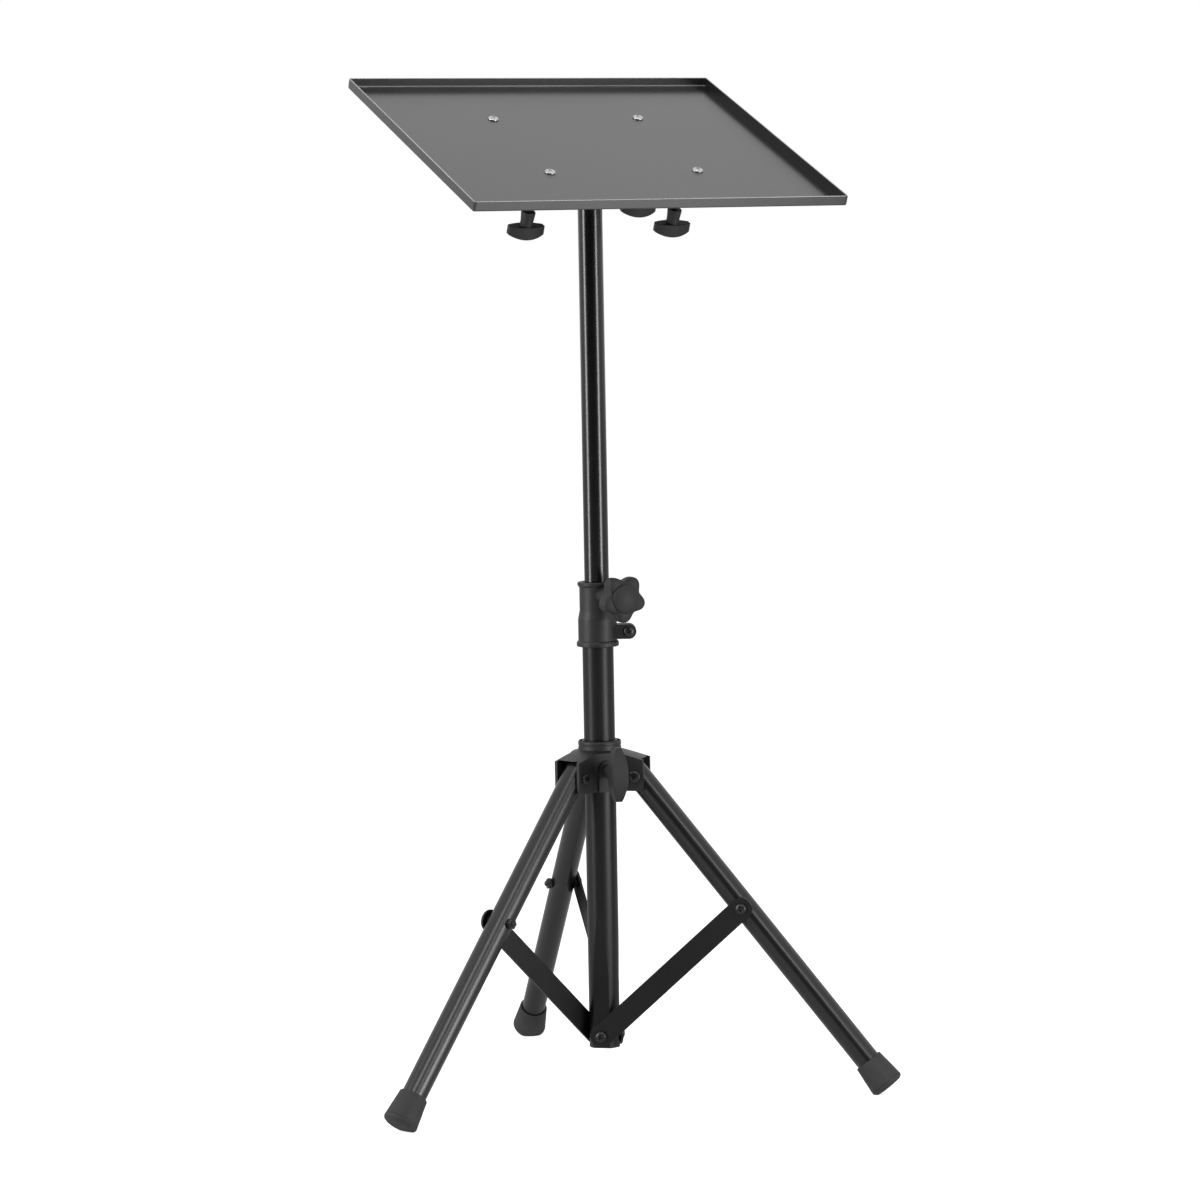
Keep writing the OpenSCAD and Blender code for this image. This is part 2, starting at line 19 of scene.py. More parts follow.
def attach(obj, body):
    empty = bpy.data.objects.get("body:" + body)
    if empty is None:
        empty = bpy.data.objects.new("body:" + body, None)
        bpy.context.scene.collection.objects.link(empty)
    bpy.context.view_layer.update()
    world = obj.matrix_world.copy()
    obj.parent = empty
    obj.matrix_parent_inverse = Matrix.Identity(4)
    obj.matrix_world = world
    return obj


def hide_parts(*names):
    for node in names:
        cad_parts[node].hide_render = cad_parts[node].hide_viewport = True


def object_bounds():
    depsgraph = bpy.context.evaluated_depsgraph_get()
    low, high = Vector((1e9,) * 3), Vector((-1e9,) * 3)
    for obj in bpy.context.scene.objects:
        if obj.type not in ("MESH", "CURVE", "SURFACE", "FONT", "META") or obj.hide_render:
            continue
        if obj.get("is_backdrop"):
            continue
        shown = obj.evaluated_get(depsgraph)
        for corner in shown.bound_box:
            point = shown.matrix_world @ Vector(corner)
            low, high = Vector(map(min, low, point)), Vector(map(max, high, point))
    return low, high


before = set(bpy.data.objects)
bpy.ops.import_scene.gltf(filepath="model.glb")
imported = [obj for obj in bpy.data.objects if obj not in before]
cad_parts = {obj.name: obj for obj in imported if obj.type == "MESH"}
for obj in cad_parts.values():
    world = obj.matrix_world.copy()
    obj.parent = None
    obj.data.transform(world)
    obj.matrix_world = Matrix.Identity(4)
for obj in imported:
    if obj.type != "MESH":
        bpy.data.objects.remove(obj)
cad_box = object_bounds()

# %% [markdown]
# ## Sizes
#
# These are the sizes that the CAD part is built from, written once more in metres,
# because every new piece has to sit exactly where its solid sits. Angles stay in
# degrees, as a maker would read them off a drawing.

# %% Sizes of the stand
MM = 0.001
TRAY_W, TRAY_D, TRAY_T, LIP_H = 360 * MM, 290 * MM, 1.2 * MM, 8 * MM
TRAY_TILT, PIVOT_Z, PIVOT_DROP = 23, 817.5 * MM, 32 * MM
SCREW_GAP_X, SCREW_GAP_Y, GRIP_GAP_Y = 144 * MM, 126 * MM, 68 * MM
RAIL_T, RAIL_DROP, YOKE_T = 2 * MM, 39 * MM, 3 * MM
GRIP_OUT, LOOSE_GRIP_OUT = 5 * MM, 14 * MM
STAR_Z, STAR_BASE = 446 * MM, 39 * MM
STAR_AZIMUTH, EAR_AZIMUTH, FIRST_LEG = -87, -25, -39.5
LEG_PIVOT_R, LEG_PIVOT_Z, LEG_SPLAY = 35 * MM, 284 * MM, 39
LEG_LEN, LEG_R, FOOT_LEN = 357.5 * MM, 11 * MM, 30 * MM
WING_Z, WING_OUT = 290 * MM, 48 * MM
BRACE_ON_LEG, BRACE_Z, BRACE_W, BRACE_T = 151.5 * MM, 47 * MM, 20 * MM, 2.5 * MM
BRACE_IN, ARM_W, WEB_R = 12.3 * MM, 30 * MM, 23 * MM
PAN_D, PAN_H, BOLT_D = 10.4 * MM, 3.4 * MM, 5 * MM
bolt_r = LEG_PIVOT_R + BRACE_ON_LEG * sin(radians(LEG_SPLAY))
bolt_z = LEG_PIVOT_Z - BRACE_ON_LEG * cos(radians(LEG_SPLAY))
BRACE_LEN = hypot(bolt_r, bolt_z - BRACE_Z)
BRACE_RISE = degrees(atan2(bolt_z - BRACE_Z, bolt_r))
print(f"brace {BRACE_LEN * 1000:.1f} mm between its bolts, rising {BRACE_RISE:.1f} degrees")

# %% [markdown]
# ## Places
#
# Every piece is modelled at the origin, where its numbers are simple, and is then moved by
# a matrix. Only four of them are needed: the upright plane of a leg, the leg, its brace
# and the tray. A matrix reads from left to right, from the stand down to the piece.


# %% Places on the stand
def turn(axis, angle):
    """A turn about one axis, in degrees."""
    return Matrix.Rotation(radians(angle), 4, axis)


def shift(x, y, z):
    """A move, in metres."""
    return Matrix.Translation((x, y, z))


def in_leg_plane(i):
    """The upright plane of leg i: +X outward, the brace on the -Y side."""
    return turn("Z", FIRST_LEG + 120 * i)


def along_leg(i):
    """Leg i: the origin is its pivot, +Z runs down to its foot."""
    return in_leg_plane(i) @ shift(LEG_PIVOT_R, 0, LEG_PIVOT_Z) @ turn("Y", 180 - LEG_SPLAY)


def along_brace(i):
    """Brace i: the origin is its lower bolt, +X runs up it, +Z is outward."""
    return in_leg_plane(i) @ shift(0, -BRACE_IN, BRACE_Z) @ turn("X", 90) @ turn("Z", BRACE_RISE)


on_tray = shift(0, 0, PIVOT_Z) @ turn("X", TRAY_TILT) @ shift(0, 0, PIVOT_DROP)
TRAY_CORNERS = [(-1, -1), (1, -1), (-1, 1), (1, 1)]
print("tray surface at", [round(v, 4) for v in on_tray.translation])

# %% [markdown]
# ## The camera
#
# The photograph was taken with a long lens at the height of the tray, looking a little
# down at the middle of the stand. The numbers below came from fitting a camera to the
# tubes, the feet and the corners of the tray. A long lens from far away keeps the two
# sides of the tray almost parallel, which a short lens near by could not do.

# %% Camera
VIEW = -25.929  # the side that the camera looks from, in degrees from -Y
CAM_AZ, CAM_EL, CAM_ROLL = radians(VIEW), radians(5.139), radians(-1.0407)
CAM_DIST, CAM_Z, CAM_SIDE, CAM_LENS = 3.7875, 0.44122, 0.0026535, 126.68
back = Vector((sin(CAM_AZ) * cos(CAM_EL), -cos(CAM_AZ) * cos(CAM_EL), sin(CAM_EL)))
level = Vector((cos(CAM_AZ), sin(CAM_AZ), 0))
steep = back.cross(level)
right = cos(CAM_ROLL) * level + sin(CAM_ROLL) * steep
up = -sin(CAM_ROLL) * level + cos(CAM_ROLL) * steep
target = Vector((0, 0, CAM_Z)) + level * CAM_SIDE
bpy.ops.object.camera_add(location=target + back * CAM_DIST)
camera = bpy.context.object
camera.name = "photo_camera"
camera.rotation_euler = Matrix((right, up, back)).transposed().to_euler()
camera.data.lens = CAM_LENS
camera.data.sensor_width = 36
camera.data.clip_end = 50
bpy.context.scene.camera = camera
bpy.context.scene.view_settings.view_transform = "Standard"
print("camera at", [round(v, 3) for v in camera.location])

# %% [markdown]
# ## Shader maths in Python
#
# A finish is a small graph of nodes. Wiring it by hand hides the idea, so one class
# wraps a socket and lets Python's own operators add the Math nodes: `1 - dust * 0.3`
# then means what it says. Every other node comes from one method, which sets the node's
# settings first and its inputs second. Patterns read Object coordinates, which stay with
# a piece when its body moves.


# %% A small shader kit
class Value:
    """One number or colour in a finish, with Python's arithmetic."""

    def __init__(self, finish, socket):
        self.finish, self.socket = finish, socket

    def maths(self, operation, first, second):
        """Adds one Math node, which the operators below share."""
        return self.finish.node("ShaderNodeMath", {"operation": operation}, {0: first, 1: second})

    def __add__(self, other):
        return self.maths("ADD", self, other)

    def __sub__(self, other):
        return self.maths("SUBTRACT", self, other)

    def __rsub__(self, other):
        return self.maths("SUBTRACT", other, self)

    def __mul__(self, other):
        return self.maths("MULTIPLY", self, other)

    __radd__ = __add__
    __rmul__ = __mul__


class Finish:
    """A material under construction: its node tree and its main shader."""

    def __init__(self, name, roughness=0.5, metallic=0.0, specular=0.5):
        self.material = bpy.data.materials.new(name)
        self.material.use_nodes = True
        self.tree = self.material.node_tree
        self.shader = self.tree.nodes["Principled BSDF"]
        self.feed("Roughness", roughness)
        self.feed("Metallic", metallic)
        self.feed("Specular IOR Level", specular)
        self.place = self.node("ShaderNodeTexCoord", out="Object")

    def node(self, kind, settings=None, values=None, out=0):
        """Adds a node, sets it up, wires or fills its inputs and gives one output."""
        new = self.tree.nodes.new(kind)
        for key, value in (settings or {}).items():
            if key == "stops":
                for element, (position, colour) in zip(new.color_ramp.elements, value):
                    element.position, element.color = position, colour
            else:
                setattr(new, key, value)
        for key, value in (values or {}).items():
            if isinstance(value, Value):
                self.tree.links.new(value.socket, new.inputs[key])
            else:
                new.inputs[key].default_value = value
        return Value(self, new.outputs[out])

    def feed(self, name, value):
        """Wires or fills one input of the main shader."""
        if isinstance(value, Value):
            self.tree.links.new(value.socket, self.shader.inputs[name])
        else:
            self.shader.inputs[name].default_value = value

    def noise(self, scale, detail=2.0, roughness=0.5, place=None):
        """A noise from 0 to 1 that is fixed to the piece."""
        values = {"Vector": place or self.place, "Scale": scale, "Detail": detail,
                  "Roughness": roughness}
        return self.node("ShaderNodeTexNoise", {}, values)

    def stretched(self, x, y, z):
        """Object coordinates scaled along each axis, for a grain with a direction."""
        return self.node("ShaderNodeMapping", {}, {"Vector": self.place, "Scale": (x, y, z)})

    def along(self, direction):
        """How far a point lies along a direction, in metres."""
        values = {0: self.place, 1: tuple(direction)}
        return self.node("ShaderNodeVectorMath", {"operation": "DOT_PRODUCT"}, values, 1)

    def between(self, value, low, high):
        """Runs from 0 to 1 as a value goes from low to high."""
        values = {"Value": value, "From Min": low, "From Max": high}
        return self.node("ShaderNodeMapRange", {"clamp": True}, values)

    def mix(self, share, first, second):
        """Goes from a first colour to a second one by a share from 0 to 1."""
        values = {0: share, 6: first, 7: second}
        return self.node("ShaderNodeMix", {"data_type": "RGBA"}, values, 2)

    def bump(self, height, distance, strength=1.0):
        """Turns a height from 0 to 1 into relief of a given depth in metres."""
        values = {"Height": height, "Distance": distance, "Strength": strength}
        return self.node("ShaderNodeBump", {}, values)


def grey(value, warmth=0.0):
    """A near-neutral colour, a little warm or cool."""
    return (value * (1 + warmth), value, value * (1 - warmth), 1)


# %% [markdown]
# ## Powder coat on the tubes
#
# The stand is black all over, so its finishes differ in gloss and in grain and hardly in
# colour. The tubes have a smooth semi-gloss powder coat, which shows sharp streaks of the
# studio lamps. One flat black would give the streaks but not their slight tremble, so a
# very fine noise bumps the coat like orange peel, and rubbed patches take its gloss.


# %% Powder coat on the tubes
def tube_coat(name, roughness, specular=0.5):
    """Smooth black powder coat of a given gloss."""
    coat = Finish(name, specular=specular)
    peel = coat.noise(420, 3.0, 0.55)
    patches = coat.noise(38, 4.0, 0.6)
    rubbed = coat.noise(900, 3.0, 0.6, coat.stretched(1, 1, 0.12))
    scuffs = coat.between(rubbed, 0.66, 0.74) * coat.between(patches, 0.45, 0.62)
    coat.feed("Base Color", coat.mix(scuffs * 0.5, grey(0.0022, -0.02), grey(0.01, -0.02)))
    coat.feed("Roughness", roughness + patches * 0.06 + scuffs * 0.15)
    coat.feed("Normal", coat.bump(peel, 0.00003, 0.12))
    return coat.material


MAST_COAT = tube_coat("mast_coat", 0.19)
TUBE_COAT = tube_coat("tube_coat", 0.27)
POST_COAT = tube_coat("post_coat", 0.34, 0.27)
STRIP_COAT = tube_coat("strip_coat", 0.4, 0.3)
print("finishes:", MAST_COAT.name, TUBE_COAT.name, POST_COAT.name, STRIP_COAT.name)


# %% [markdown]
# ## Coat on the tray
#
# The tray's coat has a fine grain. The light catches its rim and the crease under the back
# lip, and these two bright lines are a painted highlight, pale grey in the coat's colour.
# Those two lines could be strips of their own, but a mask by height over the plate puts
# them on the sheet itself.


# %% Textured coat on the tray
def tray_coat():
    """Fine-grained black coat with a painted highlight on its rim and in the back lip's crease.
    """
    coat = Finish("tray_coat", specular=0.4)
    grain = coat.noise(1500, 2.0, 0.6)
    clouds = coat.noise(7, 3.0, 0.5)
    specks = coat.between(coat.noise(2300, 1.0, 0.4), 0.62, 0.72)
    over_plate = on_tray.to_3x3() @ Vector((0, 0, 1))
    to_back = on_tray.to_3x3() @ Vector((0, 1, 0))
    height = coat.along(over_plate) - on_tray.translation.dot(over_plate)
    depth = coat.along(to_back)
    back_edge = on_tray.translation.dot(to_back) + TRAY_D / 2
    rim = coat.between(height, LIP_H - 0.4 * MM, LIP_H - 0.15 * MM)
    crease = coat.between(height, 0.0, 0.15 * MM) * (1 - coat.between(height, 0.9 * MM, 1.1 * MM))
    crease = crease * coat.between(depth, back_edge - 3 * MM, back_edge - 2.6 * MM)
    # Painted highlight: the rim and the crease under the back lip are mixed towards pale grey.
    painted_highlight = (rim + crease * 0.8) * (0.55 + 0.45 * coat.between(clouds, 0.3, 0.7))
    plain = coat.mix(specks * 0.35, grey(0.017, -0.01), grey(0.036, -0.01))
    coat.feed("Base Color", coat.mix(painted_highlight, plain, grey(0.5, -0.01)))
    coat.feed("Roughness", 0.18 + clouds * 0.05 + grain * 0.05)
    coat.feed("Normal", coat.bump(grain, 0.00004, 0.35))
    return coat.material


TRAY_COAT = tray_coat()
print("finish:", TRAY_COAT.name)


# %% [markdown]
# ## Moulded plastic
#
# Hub, collar and grips come out of a spark-eroded mould, which leaves a fine even
# texture. The texture is too small to model, so it is a bump; a slow noise stands for the
# way the plastic flowed, and small scuffs are a little paler and glossier.


# %% Moulded plastic of the hub and the collar
def moulded_plastic(name, tone, roughness, spark):
    """Black plastic with a spark texture of a given depth."""
    plastic = Finish(name, specular=0.4)
    sparks = plastic.noise(1900, 2.0, 0.55)
    flow = plastic.noise(26, 3.0, 0.5)
    scuffs = plastic.between(plastic.noise(150, 4.0, 0.7), 0.64, 0.72)
    paler = flow * 0.5 + scuffs * 0.3
    plastic.feed("Base Color", plastic.mix(paler, grey(tone, -0.01), grey(tone * 1.9, -0.01)))
    plastic.feed("Roughness", roughness + flow * 0.08 - scuffs * 0.06)
    plastic.feed("Normal", plastic.bump(sparks, 0.00005, spark))
    return plastic.material


HUB_PLASTIC = moulded_plastic("hub_plastic", 0.005, 0.45, 0.42)
GRIP_PLASTIC = moulded_plastic("grip_plastic", 0.005, 0.55, 0.4)
PLUG_PLASTIC = moulded_plastic("plug_plastic", 0.004, 0.5, 0.4)
print("finishes:", HUB_PLASTIC.name, GRIP_PLASTIC.name, PLUG_PLASTIC.name)


# %% [markdown]
# ## Rubber
#
# Rubber is dull, blooms grey as it ages and gathers dust from the floor. The dust could be
# painted by hand; here it fades out with the height over the floor.


# %% Rubber of the feet
def foot_rubber():
    """Dull black rubber with floor dust low down."""
    rubber = Finish("foot_rubber", specular=0.4)
    bloom = rubber.noise(60, 4.0, 0.6)
    pores = rubber.noise(1300, 2.0, 0.6)
    height = rubber.node("ShaderNodeSeparateXYZ", {}, {0: rubber.place}, "Z")
    dust = (1 - rubber.between(height, 0.002, 0.02)) * rubber.between(bloom, 0.35, 0.65)
    paler = bloom * 0.5 + dust * 0.35
    rubber.feed("Base Color", rubber.mix(paler, grey(0.012), grey(0.05, 0.03)))
    rubber.feed("Roughness", 0.6 + bloom * 0.15)
    rubber.feed("Normal", rubber.bump(pores, 0.00005, 0.5))
    return rubber.material


FOOT_RUBBER = foot_rubber()
print("finish:", FOOT_RUBBER.name)


# %% [markdown]
# ## Screw metal
#
# The screws of the frame are blackened steel and the four on the tray are bright zinc.
# Both are the same metal with a different tone and gloss, so one function makes both.


# %% Black screws and zinc screws
def screw_metal(name, tone, roughness, metallic):
    """Plated or blackened steel, as it comes off a screw machine."""
    metal = Finish(name, metallic=metallic)
    turned_marks = metal.noise(2600, 2.0, 0.5)
    stain = metal.noise(480, 3.0, 0.6)
    metal.feed("Base Color", metal.mix(stain, grey(tone, 0.01), grey(tone * 0.62, 0.02)))
    metal.feed("Roughness", roughness + stain * 0.12)
    metal.feed("Normal", metal.bump(turned_marks, 0.00002, 0.4))
    return metal.material


BLACK_SCREW = screw_metal("black_screw", 0.03, 0.26, 0.6)
ZINC_SCREW = screw_metal("zinc_screw", 0.62, 0.24, 1.0)
print("finishes:", BLACK_SCREW.name, ZINC_SCREW.name)

# %% [markdown]
# ## Modelling helpers
#
# Each new piece starts as a primitive and is shaped in edit mode, as by hand. With no
# window to click in, faces and edges are picked by a rule on their middle. The helpers
# below pick, weld, round, cut, copy and place a piece, hang it on its body and hide the
# solids it replaces.

# %% Selecting and finishing
WELD = 0.00002


def clear_selection():
    if bpy.context.mode != "OBJECT":
        bpy.ops.object.mode_set(mode="OBJECT")
    bpy.ops.object.select_all(action="DESELECT")


def open_piece(piece, kind="FACE"):
    """Goes into edit mode on one piece with nothing selected."""
    clear_selection()
    bpy.context.view_layer.objects.active = piece
    piece.select_set(True)
    bpy.ops.object.mode_set(mode="EDIT")
    bpy.ops.mesh.select_mode(type=kind)
    bpy.ops.mesh.select_all(action="DESELECT")


def pick(piece, kind, rule):
    """Selects the faces, edges or vertices of the open piece that pass a rule."""
    bpy.ops.mesh.select_mode(type=kind)
    bpy.ops.mesh.select_all(action="DESELECT")
    mesh = bmesh.from_edit_mesh(piece.data)
    parts = {"FACE": mesh.faces, "EDGE": mesh.edges, "VERT": mesh.verts}[kind]
    picked = 0
    for part in parts:
        corners = [part.co] if kind == "VERT" else [v.co for v in part.verts]
        if rule(sum(corners, Vector()) / len(corners), part):
            part.select_set(True)
            picked += 1
    bmesh.update_edit_mesh(piece.data)
    return picked


def weld(piece, distance=WELD):
    """Merges doubled vertices and turns every face outward."""
    open_piece(piece, "VERT")
    bpy.ops.mesh.select_all(action="SELECT")
    bpy.ops.mesh.remove_doubles(threshold=distance)
    bpy.ops.mesh.normals_make_consistent(inside=False)
    clear_selection()


def apply_modifier(piece, kind, **settings):
    """Adds one modifier, sets it and applies it."""
    clear_selection()
    bpy.context.view_layer.objects.active = piece
    piece.select_set(True)
    modifier = piece.modifiers.new(kind.lower(), kind)
    for key, value in settings.items():
        setattr(modifier, key, value)
    bpy.ops.object.modifier_apply(modifier=modifier.name)


def round_edges(piece, width, segments=2, angle=30):
    """Rounds every edge sharper than an angle."""
    apply_modifier(piece, "BEVEL", width=width, segments=segments, limit_method="ANGLE",
                   angle_limit=radians(angle), harden_normals=False)


def place(piece, matrix):
    """Puts a piece where it belongs, with its place in its mesh."""
    clear_selection()
    bpy.context.view_layer.objects.active = piece
    piece.select_set(True)
    piece.matrix_world = matrix
    bpy.ops.object.transform_apply(location=True, rotation=True, scale=True)


def joined(pieces, name):
    """Joins several pieces into the first one."""
    clear_selection()
    for piece in pieces:
        piece.select_set(True)
    bpy.context.view_layer.objects.active = pieces[0]
    bpy.ops.object.join()
    pieces[0].name = name
    return pieces[0]


def twin(piece, name):
    """A copy with a mesh of its own."""
    copy = piece.copy()
    copy.data = piece.data.copy()
    copy.name = name
    bpy.context.scene.collection.objects.link(copy)
    return copy


def cut_away(piece, tool):
    """Cuts a tool out of a piece and throws the tool away."""
    apply_modifier(piece, "BOOLEAN", operation="DIFFERENCE", object=tool, solver="EXACT")
    bpy.data.objects.remove(tool)


def dress(piece, body, slot, material, *nodes, angle=35):
    """Shades a finished piece, gives it its finish, hangs it on its body and hides the CAD nodes
    it replaces.
    """
    clear_selection()
    bpy.context.view_layer.objects.active = piece
    piece.select_set(True)
    bpy.ops.object.shade_smooth_by_angle(angle=radians(angle))
    apply_modifier(piece, "WEIGHTED_NORMAL", keep_sharp=True, weight=50)
    piece.data.materials.clear()
    piece.data.materials.append(material)
    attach(piece, body)
    if nodes:
        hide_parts(*nodes)
    return piece


# %% [markdown]
# ## Two forms of hardware
#
# Two forms come back again and again on a stand like this: turned pieces, which are drawn
# ring by ring from a circle, and pieces whose section swells and shrinks along a line.
# Spin and a curve with a profile could make them too. Extruding and resizing a ring keeps
# every size in plain sight, so that way was chosen.


# %% Turned and drawn-out forms
def turned(name, rings, sides=48):
    """A form turned about Z, from rings of (radius, height). A radius of 0 closes it."""
    clear_selection()
    point = WELD / 2
    radius, height = max(rings[0][0], point), rings[0][1]
    bpy.ops.mesh.primitive_circle_add(vertices=sides, radius=radius)
    piece = bpy.context.object
    piece.name = name
    bpy.ops.object.mode_set(mode="EDIT")
    bpy.ops.mesh.select_mode(type="EDGE")
    bpy.ops.mesh.select_all(action="SELECT")
    bpy.ops.transform.translate(value=(0, 0, height))
    for next_radius, next_height in rings[1:]:
        next_radius = max(next_radius, point)
        bpy.ops.mesh.extrude_region_move(
            TRANSFORM_OT_translate={"value": (0, 0, next_height - height)})
        size = next_radius / radius
        bpy.ops.transform.resize(value=(size, size, 1), center_override=(0, 0, next_height))
        radius, height = next_radius, next_height
    weld(piece)
    return piece


def drawn_out(name, stations, corner=0.6, segments=3):
    """A rounded-square section along X, from stations of (x, half width, low, high)."""
    clear_selection()
    bpy.ops.mesh.primitive_plane_add(size=2)
    piece = bpy.context.object
    piece.name = name
    bpy.ops.object.mode_set(mode="EDIT")
    bpy.ops.mesh.select_all(action="SELECT")
    bpy.ops.mesh.bevel(offset=corner, segments=segments, affect="VERTICES")
    bpy.ops.mesh.select_all(action="SELECT")
    bpy.ops.transform.rotate(value=pi / 2, orient_axis="Y", center_override=(0, 0, 0))
    x, half, low, high = stations[0]
    tall, middle = (high - low) / 2, (high + low) / 2
    bpy.ops.transform.resize(value=(1, half, tall), center_override=(0, 0, 0))
    bpy.ops.transform.translate(value=(x, 0, middle))
    for next_x, next_half, low, high in stations[1:]:
        next_tall, next_middle = (high - low) / 2, (high + low) / 2
        bpy.ops.mesh.extrude_region_move(
            TRANSFORM_OT_translate={"value": (next_x - x, 0, next_middle - middle)})
        bpy.ops.transform.resize(value=(1, next_half / half, next_tall / tall),
                                 center_override=(next_x, 0, next_middle))
        x, half, tall, middle = next_x, next_half, next_tall, next_middle
    weld(piece)
    return piece


def block(name, size, centre):
    """A box, as a start for a plate or as a cutting tool."""
    clear_selection()
    bpy.ops.mesh.primitive_cube_add(size=1, location=(0, 0, 0))
    piece = bpy.context.object
    piece.name = name
    bpy.ops.object.mode_set(mode="EDIT")
    bpy.ops.mesh.select_all(action="SELECT")
    bpy.ops.transform.resize(value=size, center_override=(0, 0, 0))
    bpy.ops.transform.translate(value=centre)
    clear_selection()
    return piece


def softened_copy(node, name, width, segments=2, angle=30):
    """A merged copy of a CAD node with its sharp edges rounded."""
    clear_selection()
    piece = twin(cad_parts[node], name)
    for key in list(piece.keys()):
        del piece[key]
    piece.parent = None
    open_piece(piece, "VERT")
    bpy.ops.mesh.select_all(action="SELECT")
    bpy.ops.mesh.remove_doubles(threshold=WELD / 4)
    bpy.ops.mesh.dissolve_limited(angle_limit=radians(0.5))
    clear_selection()
    round_edges(piece, width, segments, angle)
    return piece


print("helpers ready")

# %% [markdown]
# ## The tray
#
# The real tray is one sheet of steel, its four edges bent up into lips and the coat
# sprayed on afterwards. It could be drawn as a plate with four strips, but then the
# bends would be sharp, and it is the bend that shows as a thin bright line round the
# plate. So it starts as a box the size of the tray, loses its top, gets its bends from
# bevels, and becomes a sheet when Solidify gives it the thickness of the steel inward.

# %% Tray
BEND, CORNER_BEND, RIM_ROUND, SLIT = 1.3 * MM, 2.0 * MM, 0.35 * MM, 0.35 * MM
tray = block("tray_sheet", (TRAY_W, TRAY_D, LIP_H + TRAY_T), (0, 0, (LIP_H - TRAY_T) / 2))
open_piece(tray)
pick(tray, "FACE", lambda middle, face: face.normal.z > 0.9)
bpy.ops.mesh.delete(type="ONLY_FACE")
pick(tray, "EDGE", lambda middle, edge: abs(edge.verts[0].co.z - edge.verts[1].co.z) > LIP_H / 2)
bpy.ops.mesh.bevel(offset=CORNER_BEND, segments=4, affect="EDGES")
pick(tray, "EDGE", lambda middle, edge: middle.z < -TRAY_T * 0.9)
bpy.ops.mesh.bevel(offset=BEND, segments=4, affect="EDGES")
weld(tray)
apply_modifier(tray, "SOLIDIFY", thickness=TRAY_T, offset=-1, use_even_offset=True)
round_edges(tray, RIM_ROUND, 2, 50)
for side in (-1, 1):
    for end in (-1, 1):
        cut_x = side * (TRAY_W / 2 - TRAY_T - CORNER_BEND * 0.6)
        cut_middle = (cut_x, end * TRAY_D / 2, (LIP_H + BEND) / 2)
        slit = block("slit", (SLIT, 3 * TRAY_T, LIP_H), cut_middle)
        cut_away(tray, slit)
place(tray, on_tray)
dress(tray, "tray", "tray_black", TRAY_COAT, "tray")
print("tray faces:", len(tray.data.polygons))

# %% [markdown]
# ## Screws and nuts
#
# All screws but the tilt bolt have a pan head with a cross recess. The head is turned
# from rings, and the recess is cut with two tapered blades, as the punch leaves it. The
# nuts have six sides with their corners broken by a chamfer, and the end of the thread
# stands a little past them. One screw of each size is modelled and then copied.


# %% Pan-head screws
def pan_screw(name, head_d, head_h, shank_d, shank_l):
    """A cross-recess screw: the seat of its head is z = 0 and its shank points down."""
    head_r, shank_r = head_d / 2, shank_d / 2
    rings = [(0, -shank_l), (shank_r * 0.8, -shank_l), (shank_r, -shank_l * 0.9), (shank_r, 0),
             (head_r * 0.95, 0), (head_r, head_h * 0.1), (head_r, head_h * 0.3)]
    for step in range(1, 7):
        lift = step * pi / 12
        rings.append((head_r * cos(lift) if step < 6 else 0, head_h * (0.3 + 0.7 * sin(lift))))
    screw = turned(name, rings, 40)
    for angle in (0, 90):
        blade_size = (head_d * 0.58, head_d * 0.14, head_h)
        blade = block("blade", blade_size, (0, 0, head_h * 0.92))
        open_piece(blade)
        pick(blade, "FACE", lambda middle, face: face.normal.z < -0.9)
        bpy.ops.transform.resize(value=(0.55, 0.7, 1), center_override=(0, 0, head_h * 0.42))
        place(blade, turn("Z", angle))
        cut_away(screw, blade)
    return screw


def hex_nut(name, across, height):
    """A nut that stands on z = 0, with its corners broken."""
    corner, step = across / 2, height * 0.14
    return turned(name, [(0, 0), (corner * 0.9, 0), (corner, step), (corner, height - step),
                         (corner * 0.88, height), (0, height)], 6)


def threaded_end(name, bolt_d, low, high, pitch=0.8 * MM):
    """A bolt from one height to another, with its thread as close rings."""
    r = bolt_d / 2
    rings, z = [(0, low), (r * 0.86, low)], low
    while z + pitch < high:
        rings += [(r, z + pitch * 0.5), (r * 0.86, z + pitch)]
        z += pitch
    return turned(name, rings + [(r * 0.7, high), (0, high)], 24)


def stand_on(pattern, name, matrix, body, slot, material, *nodes):
    """Copies a finished pattern to its place on the stand."""
    piece = twin(pattern, name)
    place(piece, matrix)
    return dress(piece, body, slot, material, *nodes)


brace_pan = pan_screw("brace_pan", PAN_D, PAN_H, BOLT_D, 9.6 * MM)
brace_pan_short = pan_screw("brace_pan_short", PAN_D, PAN_H, BOLT_D, 2.4 * MM)
for i in range(3):
    lower = along_brace(i) @ shift(0, 0, BRACE_T + 0.3 * MM) @ turn("Z", 20 + 37 * i)
    upper = along_brace(i) @ shift(BRACE_LEN, 0, BRACE_T) @ turn("Z", 64 - 41 * i)
    stand_on(brace_pan, f"foot_screw_{i + 1}", lower, "post", "black_screw", BLACK_SCREW,
             f"brace_screw_{i + 1}")
    stand_on(brace_pan_short, f"brace_head_{i + 1}", upper, f"brace_{i + 1}", "black_screw",
             BLACK_SCREW, f"brace_bolt_{i + 1}")
for pattern in (brace_pan, brace_pan_short):
    bpy.data.objects.remove(pattern)
print("brace screws: 6")

# %% [markdown]
# ## Leg pivot screws
#
# A leg turns on a sleeve screw that goes through both cheeks of its arm of the hub. Its
# wide head shows on one cheek and the smaller head of its counterpart on the other. Each
# is turned by itself, and the two are joined.

